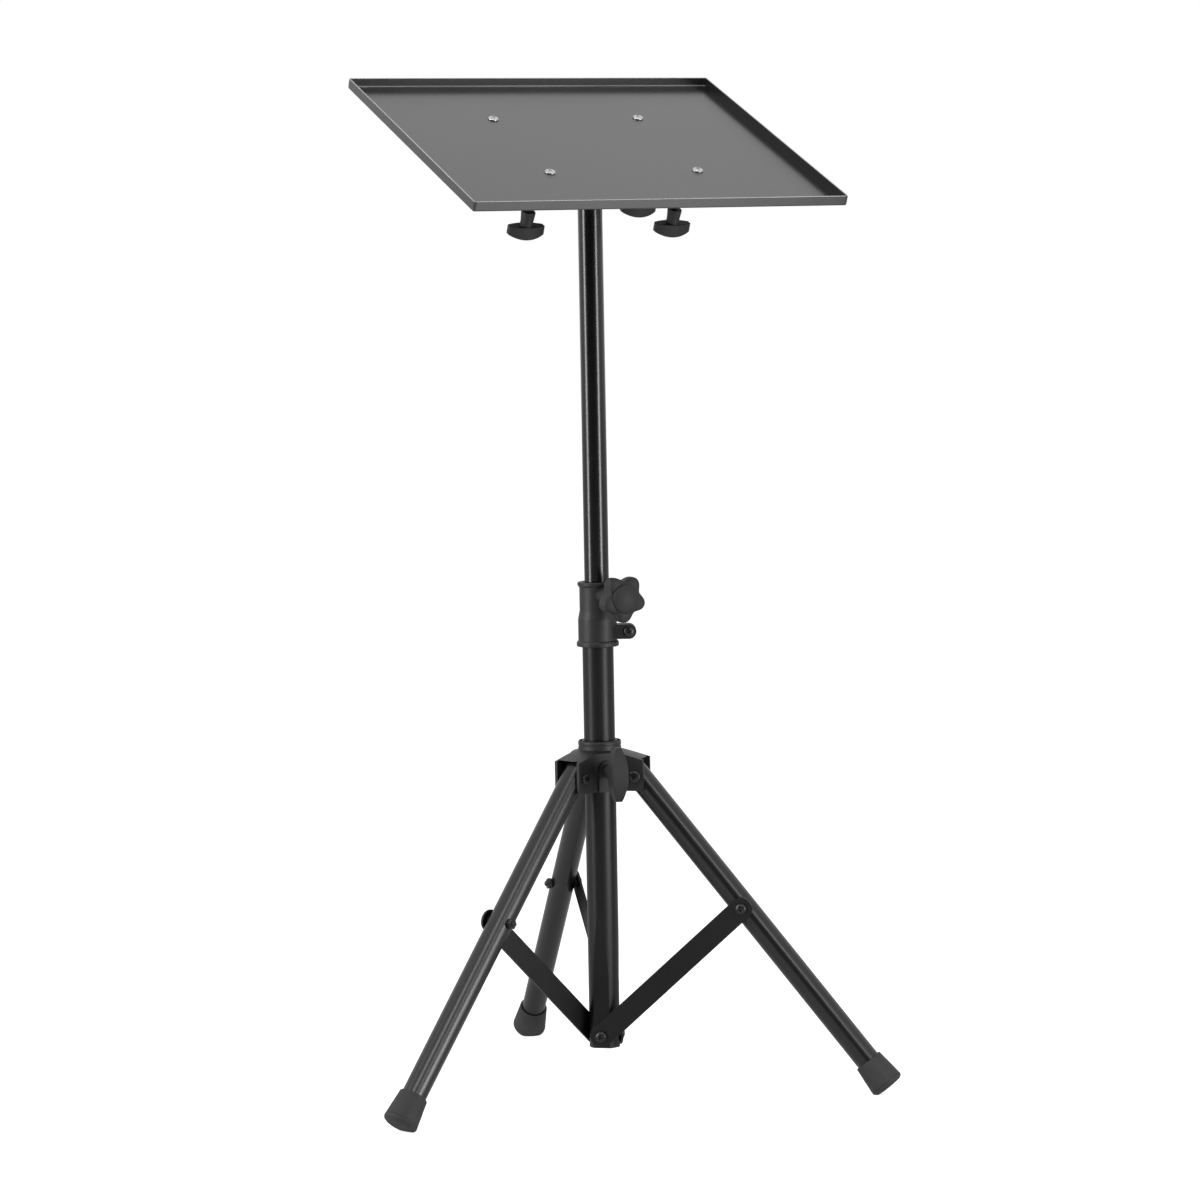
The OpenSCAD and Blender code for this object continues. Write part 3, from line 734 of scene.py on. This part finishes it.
# %% Leg pivot screws
near = pan_screw("near_head", 11 * MM, 2.6 * MM, 6 * MM, ARM_W)
far_side = pan_screw("far_head", 9 * MM, 2.6 * MM, 5.8 * MM, 4 * MM)
place(near, shift(0, -ARM_W / 2, 0) @ turn("X", 90))
place(far_side, shift(0, ARM_W / 2, 0) @ turn("X", -90))
pivot_screw = joined([near, far_side], "pivot_screw")
for i in range(3):
    at = in_leg_plane(i) @ shift(LEG_PIVOT_R, 0, LEG_PIVOT_Z) @ turn("Y", 15 + 50 * i)
    stand_on(pivot_screw, f"pivot_screw_{i + 1}", at, "hub", "black_screw", BLACK_SCREW,
             f"leg_screw_{i + 1}")
bpy.data.objects.remove(pivot_screw)
print("leg pivot screws: 3")

# %% [markdown]
# ## Bolts through the legs
#
# The bolt at the upper end of each brace goes through the leg and carries a spacer on the
# brace's side and a nut on the other. The thread could be a true spiral, but at this size
# close rings look the same and come out of the same ring tool as everything else.

# %% Bolts through the legs
shank = threaded_end("shank", BOLT_D, -12 * MM, 17.4 * MM)
nut = hex_nut("nut", 10 * MM, 4.5 * MM)
place(nut, shift(0, 0, LEG_R))
spacer = turned("spacer", [(0, -12 * MM), (5.6 * MM, -12 * MM), (6 * MM, -11.7 * MM),
                           (6 * MM, -10.2 * MM), (0, -10.2 * MM)], 40)
leg_bolt = joined([shank, nut, spacer], "leg_bolt")
place(leg_bolt, turn("X", -90))
for i in range(3):
    at = along_leg(i) @ shift(0, 0, BRACE_ON_LEG) @ turn("Y", 11 + 23 * i)
    stand_on(leg_bolt, f"leg_bolt_{i + 1}", at, f"leg_{i + 1}", "black_screw", BLACK_SCREW,
             f"brace_pin_{i + 1}")
bpy.data.objects.remove(leg_bolt)
print("leg bolts: 3")

# %% [markdown]
# ## Tray screws
#
# Four screws hold the rails under the tray. Their heads lie on the plate, and the nuts
# and the ends of the threads show from below.

# %% Tray screws
head = pan_screw("head", 9.6 * MM, 2.6 * MM, BOLT_D, 3 * MM)
nut = hex_nut("nut", 9.2 * MM, 4 * MM)
place(nut, shift(0, 0, -TRAY_T - RAIL_T - 4 * MM))
thread = threaded_end("thread", BOLT_D, -9.2 * MM, -2 * MM)
tray_bolt = joined([head, nut, thread], "tray_bolt")
for i, (side, end) in enumerate(TRAY_CORNERS):
    seat = on_tray @ shift(side * SCREW_GAP_X / 2, end * SCREW_GAP_Y / 2, 0)
    at = seat @ turn("Z", 25 + 31 * i)
    stand_on(tray_bolt, f"zinc_screw_{i + 1}", at, "tray", "plain_steel", ZINC_SCREW,
             f"tray_screw_{i + 1}")
bpy.data.objects.remove(tray_bolt)
print("tray screws: 4")

# %% [markdown]
# ## Braces
#
# Each brace is a flat steel strip with rounded ends and a punched hole at each bolt. A
# plane becomes the strip when its corners are bevelled; it is then extruded to the
# thickness of the steel, the holes are cut, and the sheared edges are broken.

# %% Braces
bpy.ops.mesh.primitive_plane_add(size=1)
strip = bpy.context.object
strip.name = "strip"
bpy.ops.object.mode_set(mode="EDIT")
bpy.ops.mesh.select_all(action="SELECT")
bpy.ops.transform.resize(value=(BRACE_LEN + BRACE_W, BRACE_W, 1), center_override=(0, 0, 0))
bpy.ops.transform.translate(value=(BRACE_LEN / 2, 0, 0))
bpy.ops.mesh.bevel(offset=BRACE_W * 0.47, segments=9, affect="VERTICES")
bpy.ops.mesh.select_all(action="SELECT")
bpy.ops.mesh.extrude_region_move(TRANSFORM_OT_translate={"value": (0, 0, BRACE_T)})
weld(strip)
for x in (0, BRACE_LEN):
    punch = turned("punch", [(0, -BRACE_T), (2.6 * MM, -BRACE_T), (2.6 * MM, 2 * BRACE_T),
                             (0, 2 * BRACE_T)], 32)
    place(punch, shift(x, 0, 0))
    cut_away(strip, punch)
round_edges(strip, 0.35 * MM, 2, 40)
for i in range(3):
    stand_on(strip, f"brace_strip_{i + 1}", along_brace(i), f"brace_{i + 1}", "tube_black",
             STRIP_COAT, f"brace_{i + 1}")
bpy.data.objects.remove(strip)

# %% [markdown]
# ## Rubber feet
#
# A foot is a moulded rubber cap that is pushed on the tube. It widens downwards, has a
# moulding seam round it where the mould's two halves met, and ends in a dome. Turned
# rings give all of that. The dome then meets the floor on a flat, which a bisecting
# plane at the floor cuts, because the leg stands at an angle.

# %% Feet
FLOOR_GAP = 0.1 * MM
foot_rings = [(0, 24), (11.05, 24), (11.05, 0.5), (11.5, 0), (12.5, 0), (13, 0.6), (13.5, 6),
              (14.5, 15), (15.3, 23.4), (15.4, 24.4), (15.1, 24.7), (15.1, 25.0), (15.6, 25.3),
              (15.5, 26.6), (14.6, 28.3), (12.4, 29.5), (8, 29.9), (0, 30)]
foot_rings = [(r * MM, z * MM) for r, z in foot_rings]
rubber_cap = turned("rubber_cap", foot_rings, 72)
for i in range(3):
    foot = twin(rubber_cap, f"rubber_foot_{i + 1}")
    place(foot, along_leg(i) @ shift(0, 0, LEG_LEN - FOOT_LEN))
    open_piece(foot)
    bpy.ops.mesh.select_all(action="SELECT")
    bpy.ops.mesh.bisect(plane_co=(0, 0, FLOOR_GAP), plane_no=(0, 0, 1), use_fill=True,
                        clear_inner=True)
    weld(foot)
    dress(foot, f"leg_{i + 1}", "foot_rubber", FOOT_RUBBER, f"foot_{i + 1}")
bpy.data.objects.remove(rubber_cap)
print("feet: 3")

# %% [markdown]
# ## The clamp collar
#
# The collar is a moulded plastic bush on the top of the post. Its lower half grips the
# post, pinched by a screw through two ears, its upper half guides the mast, and a boss
# carries the star grip's screw. The body is turned; ears and boss are added to it as
# solids, and the slot between the ears is cut last, as the mould's core leaves it.

# %% Collar
collar_rings = [(11.05, 424), (14.05, 424), (14.05, 400.4), (14.5, 400), (18.4, 400),
                (19, 400.7), (19, 403.4), (18.5, 404.5), (17.6, 405.2), (17.4, 406.2),
                (17.4, 424.4), (17.15, 425.6), (16.05, 431.2), (15.8, 432.6), (15.8, 452.4),
                (16.0, 453.4), (16.9, 454.2), (17.4, 455.2), (17.4, 457.0), (17.0, 457.8),
                (16.4, 458), (14.2, 458), (13.4, 457.4), (12.2, 456.2), (11.05, 455.8),
                (11.05, 424)]
collar = turned("collar", [(r * MM, z * MM) for r, z in collar_rings], 72)
EAR_OUT, EAR_R, EAR_T, EAR_SLOT, EAR_Z = 28 * MM, 6.7 * MM, 5.5 * MM, 3 * MM, 413 * MM
EAR_ROOT = 15.1 * MM
ear_place = turn("Z", EAR_AZIMUTH) @ shift(0, 0, EAR_Z)
for side in (-1, 1):
    ear = turned("ear", [(0, -EAR_T / 2), (EAR_R, -EAR_T / 2), (EAR_R, EAR_T / 2),
                         (0, EAR_T / 2)], 40)
    open_piece(ear)
    pick(ear, "VERT", lambda middle, vertex: middle.x < -EAR_R * 0.05)
    bpy.ops.transform.resize(value=(0, 1, 1), center_override=(0, 0, 0))
    bpy.ops.transform.translate(value=(EAR_ROOT - EAR_OUT, 0, 0))
    clear_selection()
    place(ear, shift(EAR_OUT, side * (EAR_SLOT + EAR_T) / 2, 0) @ turn("X", 90))
    round_edges(ear, 0.5 * MM, 2, 50)
    place(ear, ear_place)
    apply_modifier(collar, "BOOLEAN", operation="UNION", object=ear, solver="EXACT")
    bpy.data.objects.remove(ear)
boss = turned("boss", [(9, 12.5), (9, 26.2), (8.4, 27), (4.1, 27), (4.1, 12.5), (9, 12.5)], 48)
open_piece(boss, "VERT")
bpy.ops.mesh.select_all(action="SELECT")
bpy.ops.transform.resize(value=(MM, MM, MM), center_override=(0, 0, 0))
clear_selection()
place(boss, turn("Z", STAR_AZIMUTH) @ shift(0, 0, STAR_Z) @ turn("Y", 90))
apply_modifier(collar, "BOOLEAN", operation="UNION", object=boss, solver="EXACT")
bpy.data.objects.remove(boss)
slot_tool = block("slot_tool", (40 * MM, EAR_SLOT, 24.5 * MM), (33 * MM, 0, 411.5 * MM))
place(slot_tool, turn("Z", EAR_AZIMUTH))
cut_away(collar, slot_tool)
dress(collar, "post", "moulded_black", HUB_PLASTIC, "post_collar", angle=22)
print("collar faces:", len(collar.data.polygons))

# %% [markdown]
# ## Collar screw
#
# The screw that pinches the collar has its head on the camera's side and a nut behind.

# %% Collar screw
near = pan_screw("near", 10 * MM, PAN_H, BOLT_D, 12 * MM)
place(near, shift(0, -7 * MM, 0) @ turn("X", 90) @ turn("Z", 30))
nut = hex_nut("nut", 9.6 * MM, 4 * MM)
place(nut, shift(0, 7 * MM, 0) @ turn("X", -90))
clamp_screw = joined([near, nut], "clamp_screw")
place(clamp_screw, ear_place @ shift(EAR_OUT, 0, 0))
dress(clamp_screw, "post", "black_screw", BLACK_SCREW, "collar_screw")
print("collar screw: 1")

# %% [markdown]
# ## The star grip
#
# The star grip clamps the mast. It has five round lobes with hollows between them, and a
# slightly domed cap on its face. A circle of thirty points becomes the star when each
# point is moved in or out by its place round the circle. The outline is then drawn out
# ring by ring, and a subdivision surface makes the lobes as soft as moulded ones are.

# %% Star grip
STAR_R, STAR_POINTS = 22.3 * MM, 30
LOBE = {0: 1.0, 1: 0.955, 2: 0.8, 3: 0.7}

bpy.ops.mesh.primitive_circle_add(vertices=STAR_POINTS, radius=STAR_R, fill_type="NGON")
star = bpy.context.object
star.name = "star_grip_knob"
bpy.ops.object.mode_set(mode="EDIT")


def lobe_step(point):
    """How many points away from the tip of its lobe a point lies."""
    turn_share = (degrees(atan2(point.y, point.x)) - 90) % 72 / 12
    return min(round(turn_share) % 6, 6 - round(turn_share) % 6)


for step, size in LOBE.items():
    pick(star, "VERT", lambda middle, vertex: lobe_step(middle) == step
         and middle.length > STAR_R * 0.99)
    bpy.ops.transform.resize(value=(size, size, 1), center_override=(0, 0, 0))
bpy.ops.mesh.select_mode(type="FACE")
bpy.ops.mesh.select_all(action="SELECT")
bpy.ops.transform.resize(value=(0.86, 0.86, 1), center_override=(0, 0, 0))
height = 0
for next_height, size in ((1.2, 1.12), (3.0, 1.038), (10.5, 1.0), (12.6, 0.965), (13.6, 0.87),
                          (14.4, 0.8), (14.8, 0.6)):
    bpy.ops.mesh.extrude_region_move(
        TRANSFORM_OT_translate={"value": (0, 0, (next_height - height) * MM)})
    bpy.ops.transform.resize(value=(size, size, 1), center_override=(0, 0, next_height * MM))
    height = next_height
weld(star)
apply_modifier(star, "SUBSURF", levels=2, render_levels=2)
cap_rings = [(0, 13), (13.2, 13), (13.4, 15.2), (13.1, 16.3), (12.2, 16.8), (9.5, 17.9),
             (6, 18.9), (3, 19.4), (0, 19.6)]
cap = turned("cap", [(r * MM, z * MM) for r, z in cap_rings], 64)
stem_rings = [(0, -23.6), (3.9, -23.6), (4, -23), (4, -6), (7.4, -6), (8, -5.4), (8.6, 1.5),
              (0, 1.5)]
stem = turned("stem", [(r * MM, z * MM) for r, z in stem_rings], 40)
star = joined([star, cap, stem], "star_grip_knob")
star_upright = turn("X", 90) @ turn("Y", 90) @ turn("Z", 180)
place(star, turn("Z", STAR_AZIMUTH) @ shift(STAR_BASE, 0, STAR_Z) @ star_upright)
dress(star, "post", "grip_black", GRIP_PLASTIC, "star_grip", angle=50)
print("star grip faces:", len(star.data.polygons))

# %% [markdown]
# ## Hand grips
#
# The wing grip and the four hand screws have the same form: a round neck and a bar that
# is a lens seen from its end, arched along its back, with its tips cut off. The bar is
# drawn out section by section, so that both curves have one short formula each.


# %% The bar of a hand grip
LENS_SHARE, ARCH_SHARE = 0.62, 0.33


def grip_bar(name, length, width, depth, neck_d, neck_h, corner):
    """A grip on z = 0 whose neck stands up and whose bar lies along X on top of it."""
    lens = ((length * LENS_SHARE) ** 2 + (width / 2) ** 2) / width
    rise = depth * ARCH_SHARE
    arch = ((length / 2) ** 2 + rise ** 2) / (2 * rise)
    stations = []
    for share in (-1, -0.98, -0.8, -0.6, -0.4, -0.2, 0, 0.2, 0.4, 0.6, 0.8, 0.98, 1):
        x = share * length / 2
        half = sqrt(lens ** 2 - x ** 2) - lens + width / 2
        top = neck_h + depth - arch + sqrt(arch ** 2 - x ** 2)
        low = neck_h
        if abs(share) == 1:
            half, low, top = half * 0.85, low + depth * 0.04, top - depth * 0.04
        stations.append((x, half, low, top))
    bar = drawn_out(name, stations, corner, 4)
    neck = turned("neck", [(0, 0), (neck_d * 0.47, 0), (neck_d * 0.5, neck_h * 0.06),
                           (neck_d * 0.44, neck_h * 0.7), (neck_d * 0.5, neck_h + depth * 0.2),
                           (0, neck_h + depth * 0.2)], 40)
    return joined([bar, neck], name)


# %% [markdown]
# ## Wing grip
#
# The wing grip locks the hub on the post. Its screw goes through the facet between two
# arms of the hub, so its place follows from the arms' width and the hub's web.

# %% Wing grip
FACET_R = hypot(WEB_R, ARM_W / 2) * cos(radians(60) - atan2(ARM_W / 2, WEB_R))
WING_SEAT, WING_FACE = FACET_R + 8 * MM, FACET_R / MM + 3.4
wing = grip_bar("wing_grip_leaf", 48 * MM, 15 * MM, 17 * MM, 13 * MM, WING_OUT - WING_SEAT, 0.14)
place(wing, shift(WING_SEAT, 0, 0) @ turn("Y", 90))
wing_rings = [(0, 14.4), (3, 14.4), (3, WING_FACE), (5.6, WING_FACE), (5.6, 48), (0, 48)]
wing_stem = turned("wing_stem", [(r * MM, z * MM) for r, z in wing_rings], 40)
place(wing_stem, turn("Y", 90))
wing = joined([wing, wing_stem], "wing_grip_leaf")
place(wing, turn("Z", FIRST_LEG - 60) @ shift(0, 0, WING_Z))
dress(wing, "hub", "grip_black", GRIP_PLASTIC, "wing_grip", angle=40)
print("wing grip faces:", len(wing.data.polygons))

# %% [markdown]
# ## Hand screws
#
# Four hand screws hold the yoke to the tray's rails. In the photograph three are
# screwed home and the one at the back right hangs loose, so it stands further out.

# %% Hand screws
hand = grip_bar("hand", 34 * MM, 14 * MM, 12 * MM, 13 * MM, 13 * MM, 0.12)
place(hand, turn("X", 180))
stud = threaded_end("stud", 6 * MM, -1 * MM, 22 * MM, 1 * MM)
hand = joined([hand, stud], "hand")
GRIP_TOP = TRAY_T + RAIL_DROP + YOKE_T
for i, (side, end) in enumerate(TRAY_CORNERS):
    drop = GRIP_TOP + (LOOSE_GRIP_OUT if i == 3 else GRIP_OUT)
    at = on_tray @ shift(side * SCREW_GAP_X / 2, end * GRIP_GAP_Y / 2, -drop)
    stand_on(hand, f"hand_grip_{i + 1}", at, "tray", "grip_black", GRIP_PLASTIC,
             f"hand_screw_{i + 1}")
bpy.data.objects.remove(hand)
print("hand screws: 4")

# %% [markdown]
# ## Hub, head, yoke and rails
#
# The solids of these pieces already have the right form, and only their edges are too
# sharp: moulded plastic and pressed steel always have a small round there, and it is
# what catches the light. So a merged copy of each solid gets a narrow bevel. A guide
# ring is turned and laid round the hub's top, where the mould has a groove and a step.

# %% Softened copies
SOFTENED = [("hub", "hub_casting", "hub", "moulded_black", HUB_PLASTIC, 0.9),
            ("mast_head", "mast_head_block", "mast", "moulded_black", HUB_PLASTIC, 0.6),
            ("yoke_plate", "yoke_sheet", "tray", "tube_black", TUBE_COAT, 0.4),
            ("rail_left", "rail_sheet_left", "tray", "tube_black", TUBE_COAT, 0.35),
            ("rail_right", "rail_sheet_right", "tray", "tube_black", TUBE_COAT, 0.35)]
GUIDE_RINGS = [(14.3, 304), (19.3, 304), (19.3, 309.5), (18.9, 310.1), (18.9, 311.0),
               (19.4, 311.6), (19.4, 313.6), (19.0, 314.5), (18.2, 315), (16.2, 315),
               (15.2, 314.2), (14.3, 313.6), (14.3, 304)]
for node, name, body, slot_name, material, width in SOFTENED:
    piece = softened_copy(node, name, width * MM)
    if node == "hub":
        ring = turned("ring", [(r * MM, z * MM) for r, z in GUIDE_RINGS], 72)
        piece = joined([piece, ring], name)
    dress(piece, body, slot_name, material, node)
    print(name, "faces:", len(piece.data.polygons))

# %% [markdown]
# ## Tilt bolt
#
# The tray tilts on a hex bolt through the mast head, with a nut on its other end.

# %% Tilt bolt
EAR_FACE, TILT_HEAD_H, TILT_NUT_H = 18.1 * MM, 5.5 * MM, 6.5 * MM
bolt_head = hex_nut("bolt_head", 15 * MM, TILT_HEAD_H)
place(bolt_head, shift(0, 0, -EAR_FACE - TILT_HEAD_H))
bolt_nut = hex_nut("bolt_nut", 15 * MM, TILT_NUT_H)
place(bolt_nut, shift(0, 0, EAR_FACE) @ turn("Z", 17))
bolt_low, bolt_high = -EAR_FACE - 1 * MM, EAR_FACE + TILT_NUT_H + 1 * MM
bolt_shank = threaded_end("bolt_shank", 8 * MM, bolt_low, bolt_high, 1 * MM)
tilt_bolt = joined([bolt_head, bolt_nut, bolt_shank], "tilt_bolt_steel")
place(tilt_bolt, shift(0, 0, PIVOT_Z) @ turn("Y", 90))
dress(tilt_bolt, "tray", "black_screw", BLACK_SCREW, "tilt_bolt")
print("tilt bolt: 1")

# %% [markdown]
# ## Tubes
#
# The tubes are right as they came from CAD: round, straight, with the pressed flats at
# the foot of the post. So are the post's plug and the bush on the mast's lower end, which
# hardly show. They only need their finish.

# %% Finishes on the CAD nodes that stay
KEPT = {"post_tube": POST_COAT, "mast_tube": MAST_COAT, "leg_tube_1": TUBE_COAT,
        "leg_tube_2": TUBE_COAT, "leg_tube_3": TUBE_COAT, "post_plug": PLUG_PLASTIC,
        "mast_bush": PLUG_PLASTIC}
for node, material in KEPT.items():
    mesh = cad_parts[node].data
    mesh.materials.clear()
    mesh.materials.append(material)
print("CAD nodes kept:", len(KEPT))

# %% [markdown]
# ## Floor
#
# The photograph shows the stand cut out on white. More light would burn the stand out,
# so the floor glows a little instead, and only for the rays that come from the camera or
# from a mirror. It stays a real pale floor under that, so it keeps the stand's shadow.


# %% Floor
FLOOR_GLOW, MIRRORED_GLOW = 0.72, 0.15


def pale_floor():
    """A pale floor that reads as white where no shadow falls."""
    paint = Finish("pale_floor", roughness=0.9, specular=0.1)
    tint = paint.noise(3, 2.0, 0.5)
    paint.feed("Base Color", paint.mix(tint, grey(0.86), grey(0.88)))
    camera_ray = paint.node("ShaderNodeLightPath", out="Is Camera Ray")
    mirror_ray = paint.node("ShaderNodeLightPath", out="Is Glossy Ray")
    seen = camera_ray + mirror_ray * MIRRORED_GLOW
    paint.feed("Emission Color", paint.mix(seen, grey(0.0), grey(FLOOR_GLOW)))
    paint.feed("Emission Strength", 1.0)
    return paint.material


bpy.ops.mesh.primitive_plane_add(size=24, location=(0, 0, 0))
floor = bpy.context.object
floor.name = "studio_floor"
floor.data.materials.append(pale_floor())
floor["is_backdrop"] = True
print("floor ready")

# %% [markdown]
# ## World
#
# The world gives a soft even light from all sides, at about a third of full strength.
# Rays that end up in a picture or in a mirror see it at full strength, which is white.
# The same shader kit writes it: the world's tree has a Background node where a material
# has its main shader.


# %% World
AROUND = 0.35


class Surroundings(Finish):
    """The world's node tree, with the same methods as a finish."""

    def __init__(self, name):
        self.world = bpy.data.worlds.new(name)
        self.world.use_nodes = True
        self.tree = self.world.node_tree
        self.shader = self.tree.nodes["Background"]


studio = Surroundings("studio")
unseen = 1.0
for ray in ("Is Camera Ray", "Is Glossy Ray", "Is Transmission Ray"):
    unseen = (1 - studio.node("ShaderNodeLightPath", out=ray)) * unseen
studio.feed("Color", (1, 1, 1, 1))
studio.feed("Strength", 1 - unseen * (1 - AROUND))
bpy.context.scene.world = studio.world
print("world ready")

# %% [markdown]
# ## Soft boxes
#
# A black tube is seen by what it mirrors. The left and the right box draw the two long
# streaks down every tube, and the dark gap between them makes the tubes look black. The
# right box is low, so that the tray doesn't mirror it on its back lip; a small high box
# gives the right leg its streak instead. The box in front lifts the hub's roof, the low
# one the tray's front lip, and the one behind the tray's plate.


# %% Soft boxes
STAND_MIDDLE = 0.5


def soft_box(name, azimuth, height, distance, size, energy):
    """An area lamp that looks at the middle of the stand."""
    a = radians(azimuth)
    place_at = Vector((sin(a) * distance, -cos(a) * distance, height))
    bpy.ops.object.light_add(type="AREA", location=place_at)
    lamp = bpy.context.object
    lamp.name = name
    lamp.data.shape = "RECTANGLE"
    lamp.data.size, lamp.data.size_y = size
    lamp.data.energy = energy
    away = place_at - Vector((0, 0, STAND_MIDDLE))
    lamp.rotation_euler = away.to_track_quat("Z", "Y").to_euler()
    return lamp


soft_box("left_box", VIEW - 66, 1.1, 2.6, (0.6, 2.2), 50)
soft_box("right_box", VIEW + 52, 0.45, 2.6, (0.6, 0.86), 20)
soft_box("top_box", VIEW + 168, 2.2, 2.0, (1.8, 1.5), 2)
soft_box("high_box", VIEW + 30, 1.5, 2.6, (0.36, 0.6), 8)
soft_box("front_box", VIEW - 8, 2.4, 2.2, (0.7, 0.7), 14)
low_box = soft_box("low_box", VIEW + 52, 0.06, 0.88, (0.5, 0.5), 2.8)
low_box.visible_camera = False
print("lamps: 6")

# %% [markdown]
# ## Dark card
#
# What is straight behind the camera shows in the middle of every tube. A photographer
# hangs a black card there, which no camera sees but every gloss does.


# %% Dark card behind the camera
def dark_card(azimuth, distance, width, tall):
    """An upright card that only reflections see."""
    a = radians(azimuth)
    middle = (sin(a) * distance, -cos(a) * distance, tall / 2)
    bpy.ops.mesh.primitive_plane_add(size=1, location=middle)
    card = bpy.context.object
    card.name = "dark_card"
    card.scale = (width, tall, 1)
    card.rotation_euler = (pi / 2, 0, a)
    felt = Finish("dark_felt", roughness=0.9, specular=0.1)
    felt.feed("Base Color", felt.mix(felt.noise(40, 2.0), grey(0.008), grey(0.014)))
    card.data.materials.append(felt.material)
    card.visible_camera = False
    card.visible_diffuse = False
    card.visible_shadow = False
    card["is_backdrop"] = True


dark_card(VIEW - 6, 4.3, 10.5, 3.0)
print("dark card ready")

# %% [markdown]
# ## Size
#
# Both boxes are measured, and the growth of the dressed model beyond its solids is
# printed for each side. The dressed model may not outgrow its solids.

# %% Finish
made_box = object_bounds()
for axis, letter in enumerate("XYZ"):
    low = (cad_box[0][axis] - made_box[0][axis]) * 1000
    high = (made_box[1][axis] - cad_box[1][axis]) * 1000
    print(f"{letter}: visual beyond CAD by {low:.2f} mm below and {high:.2f} mm above")
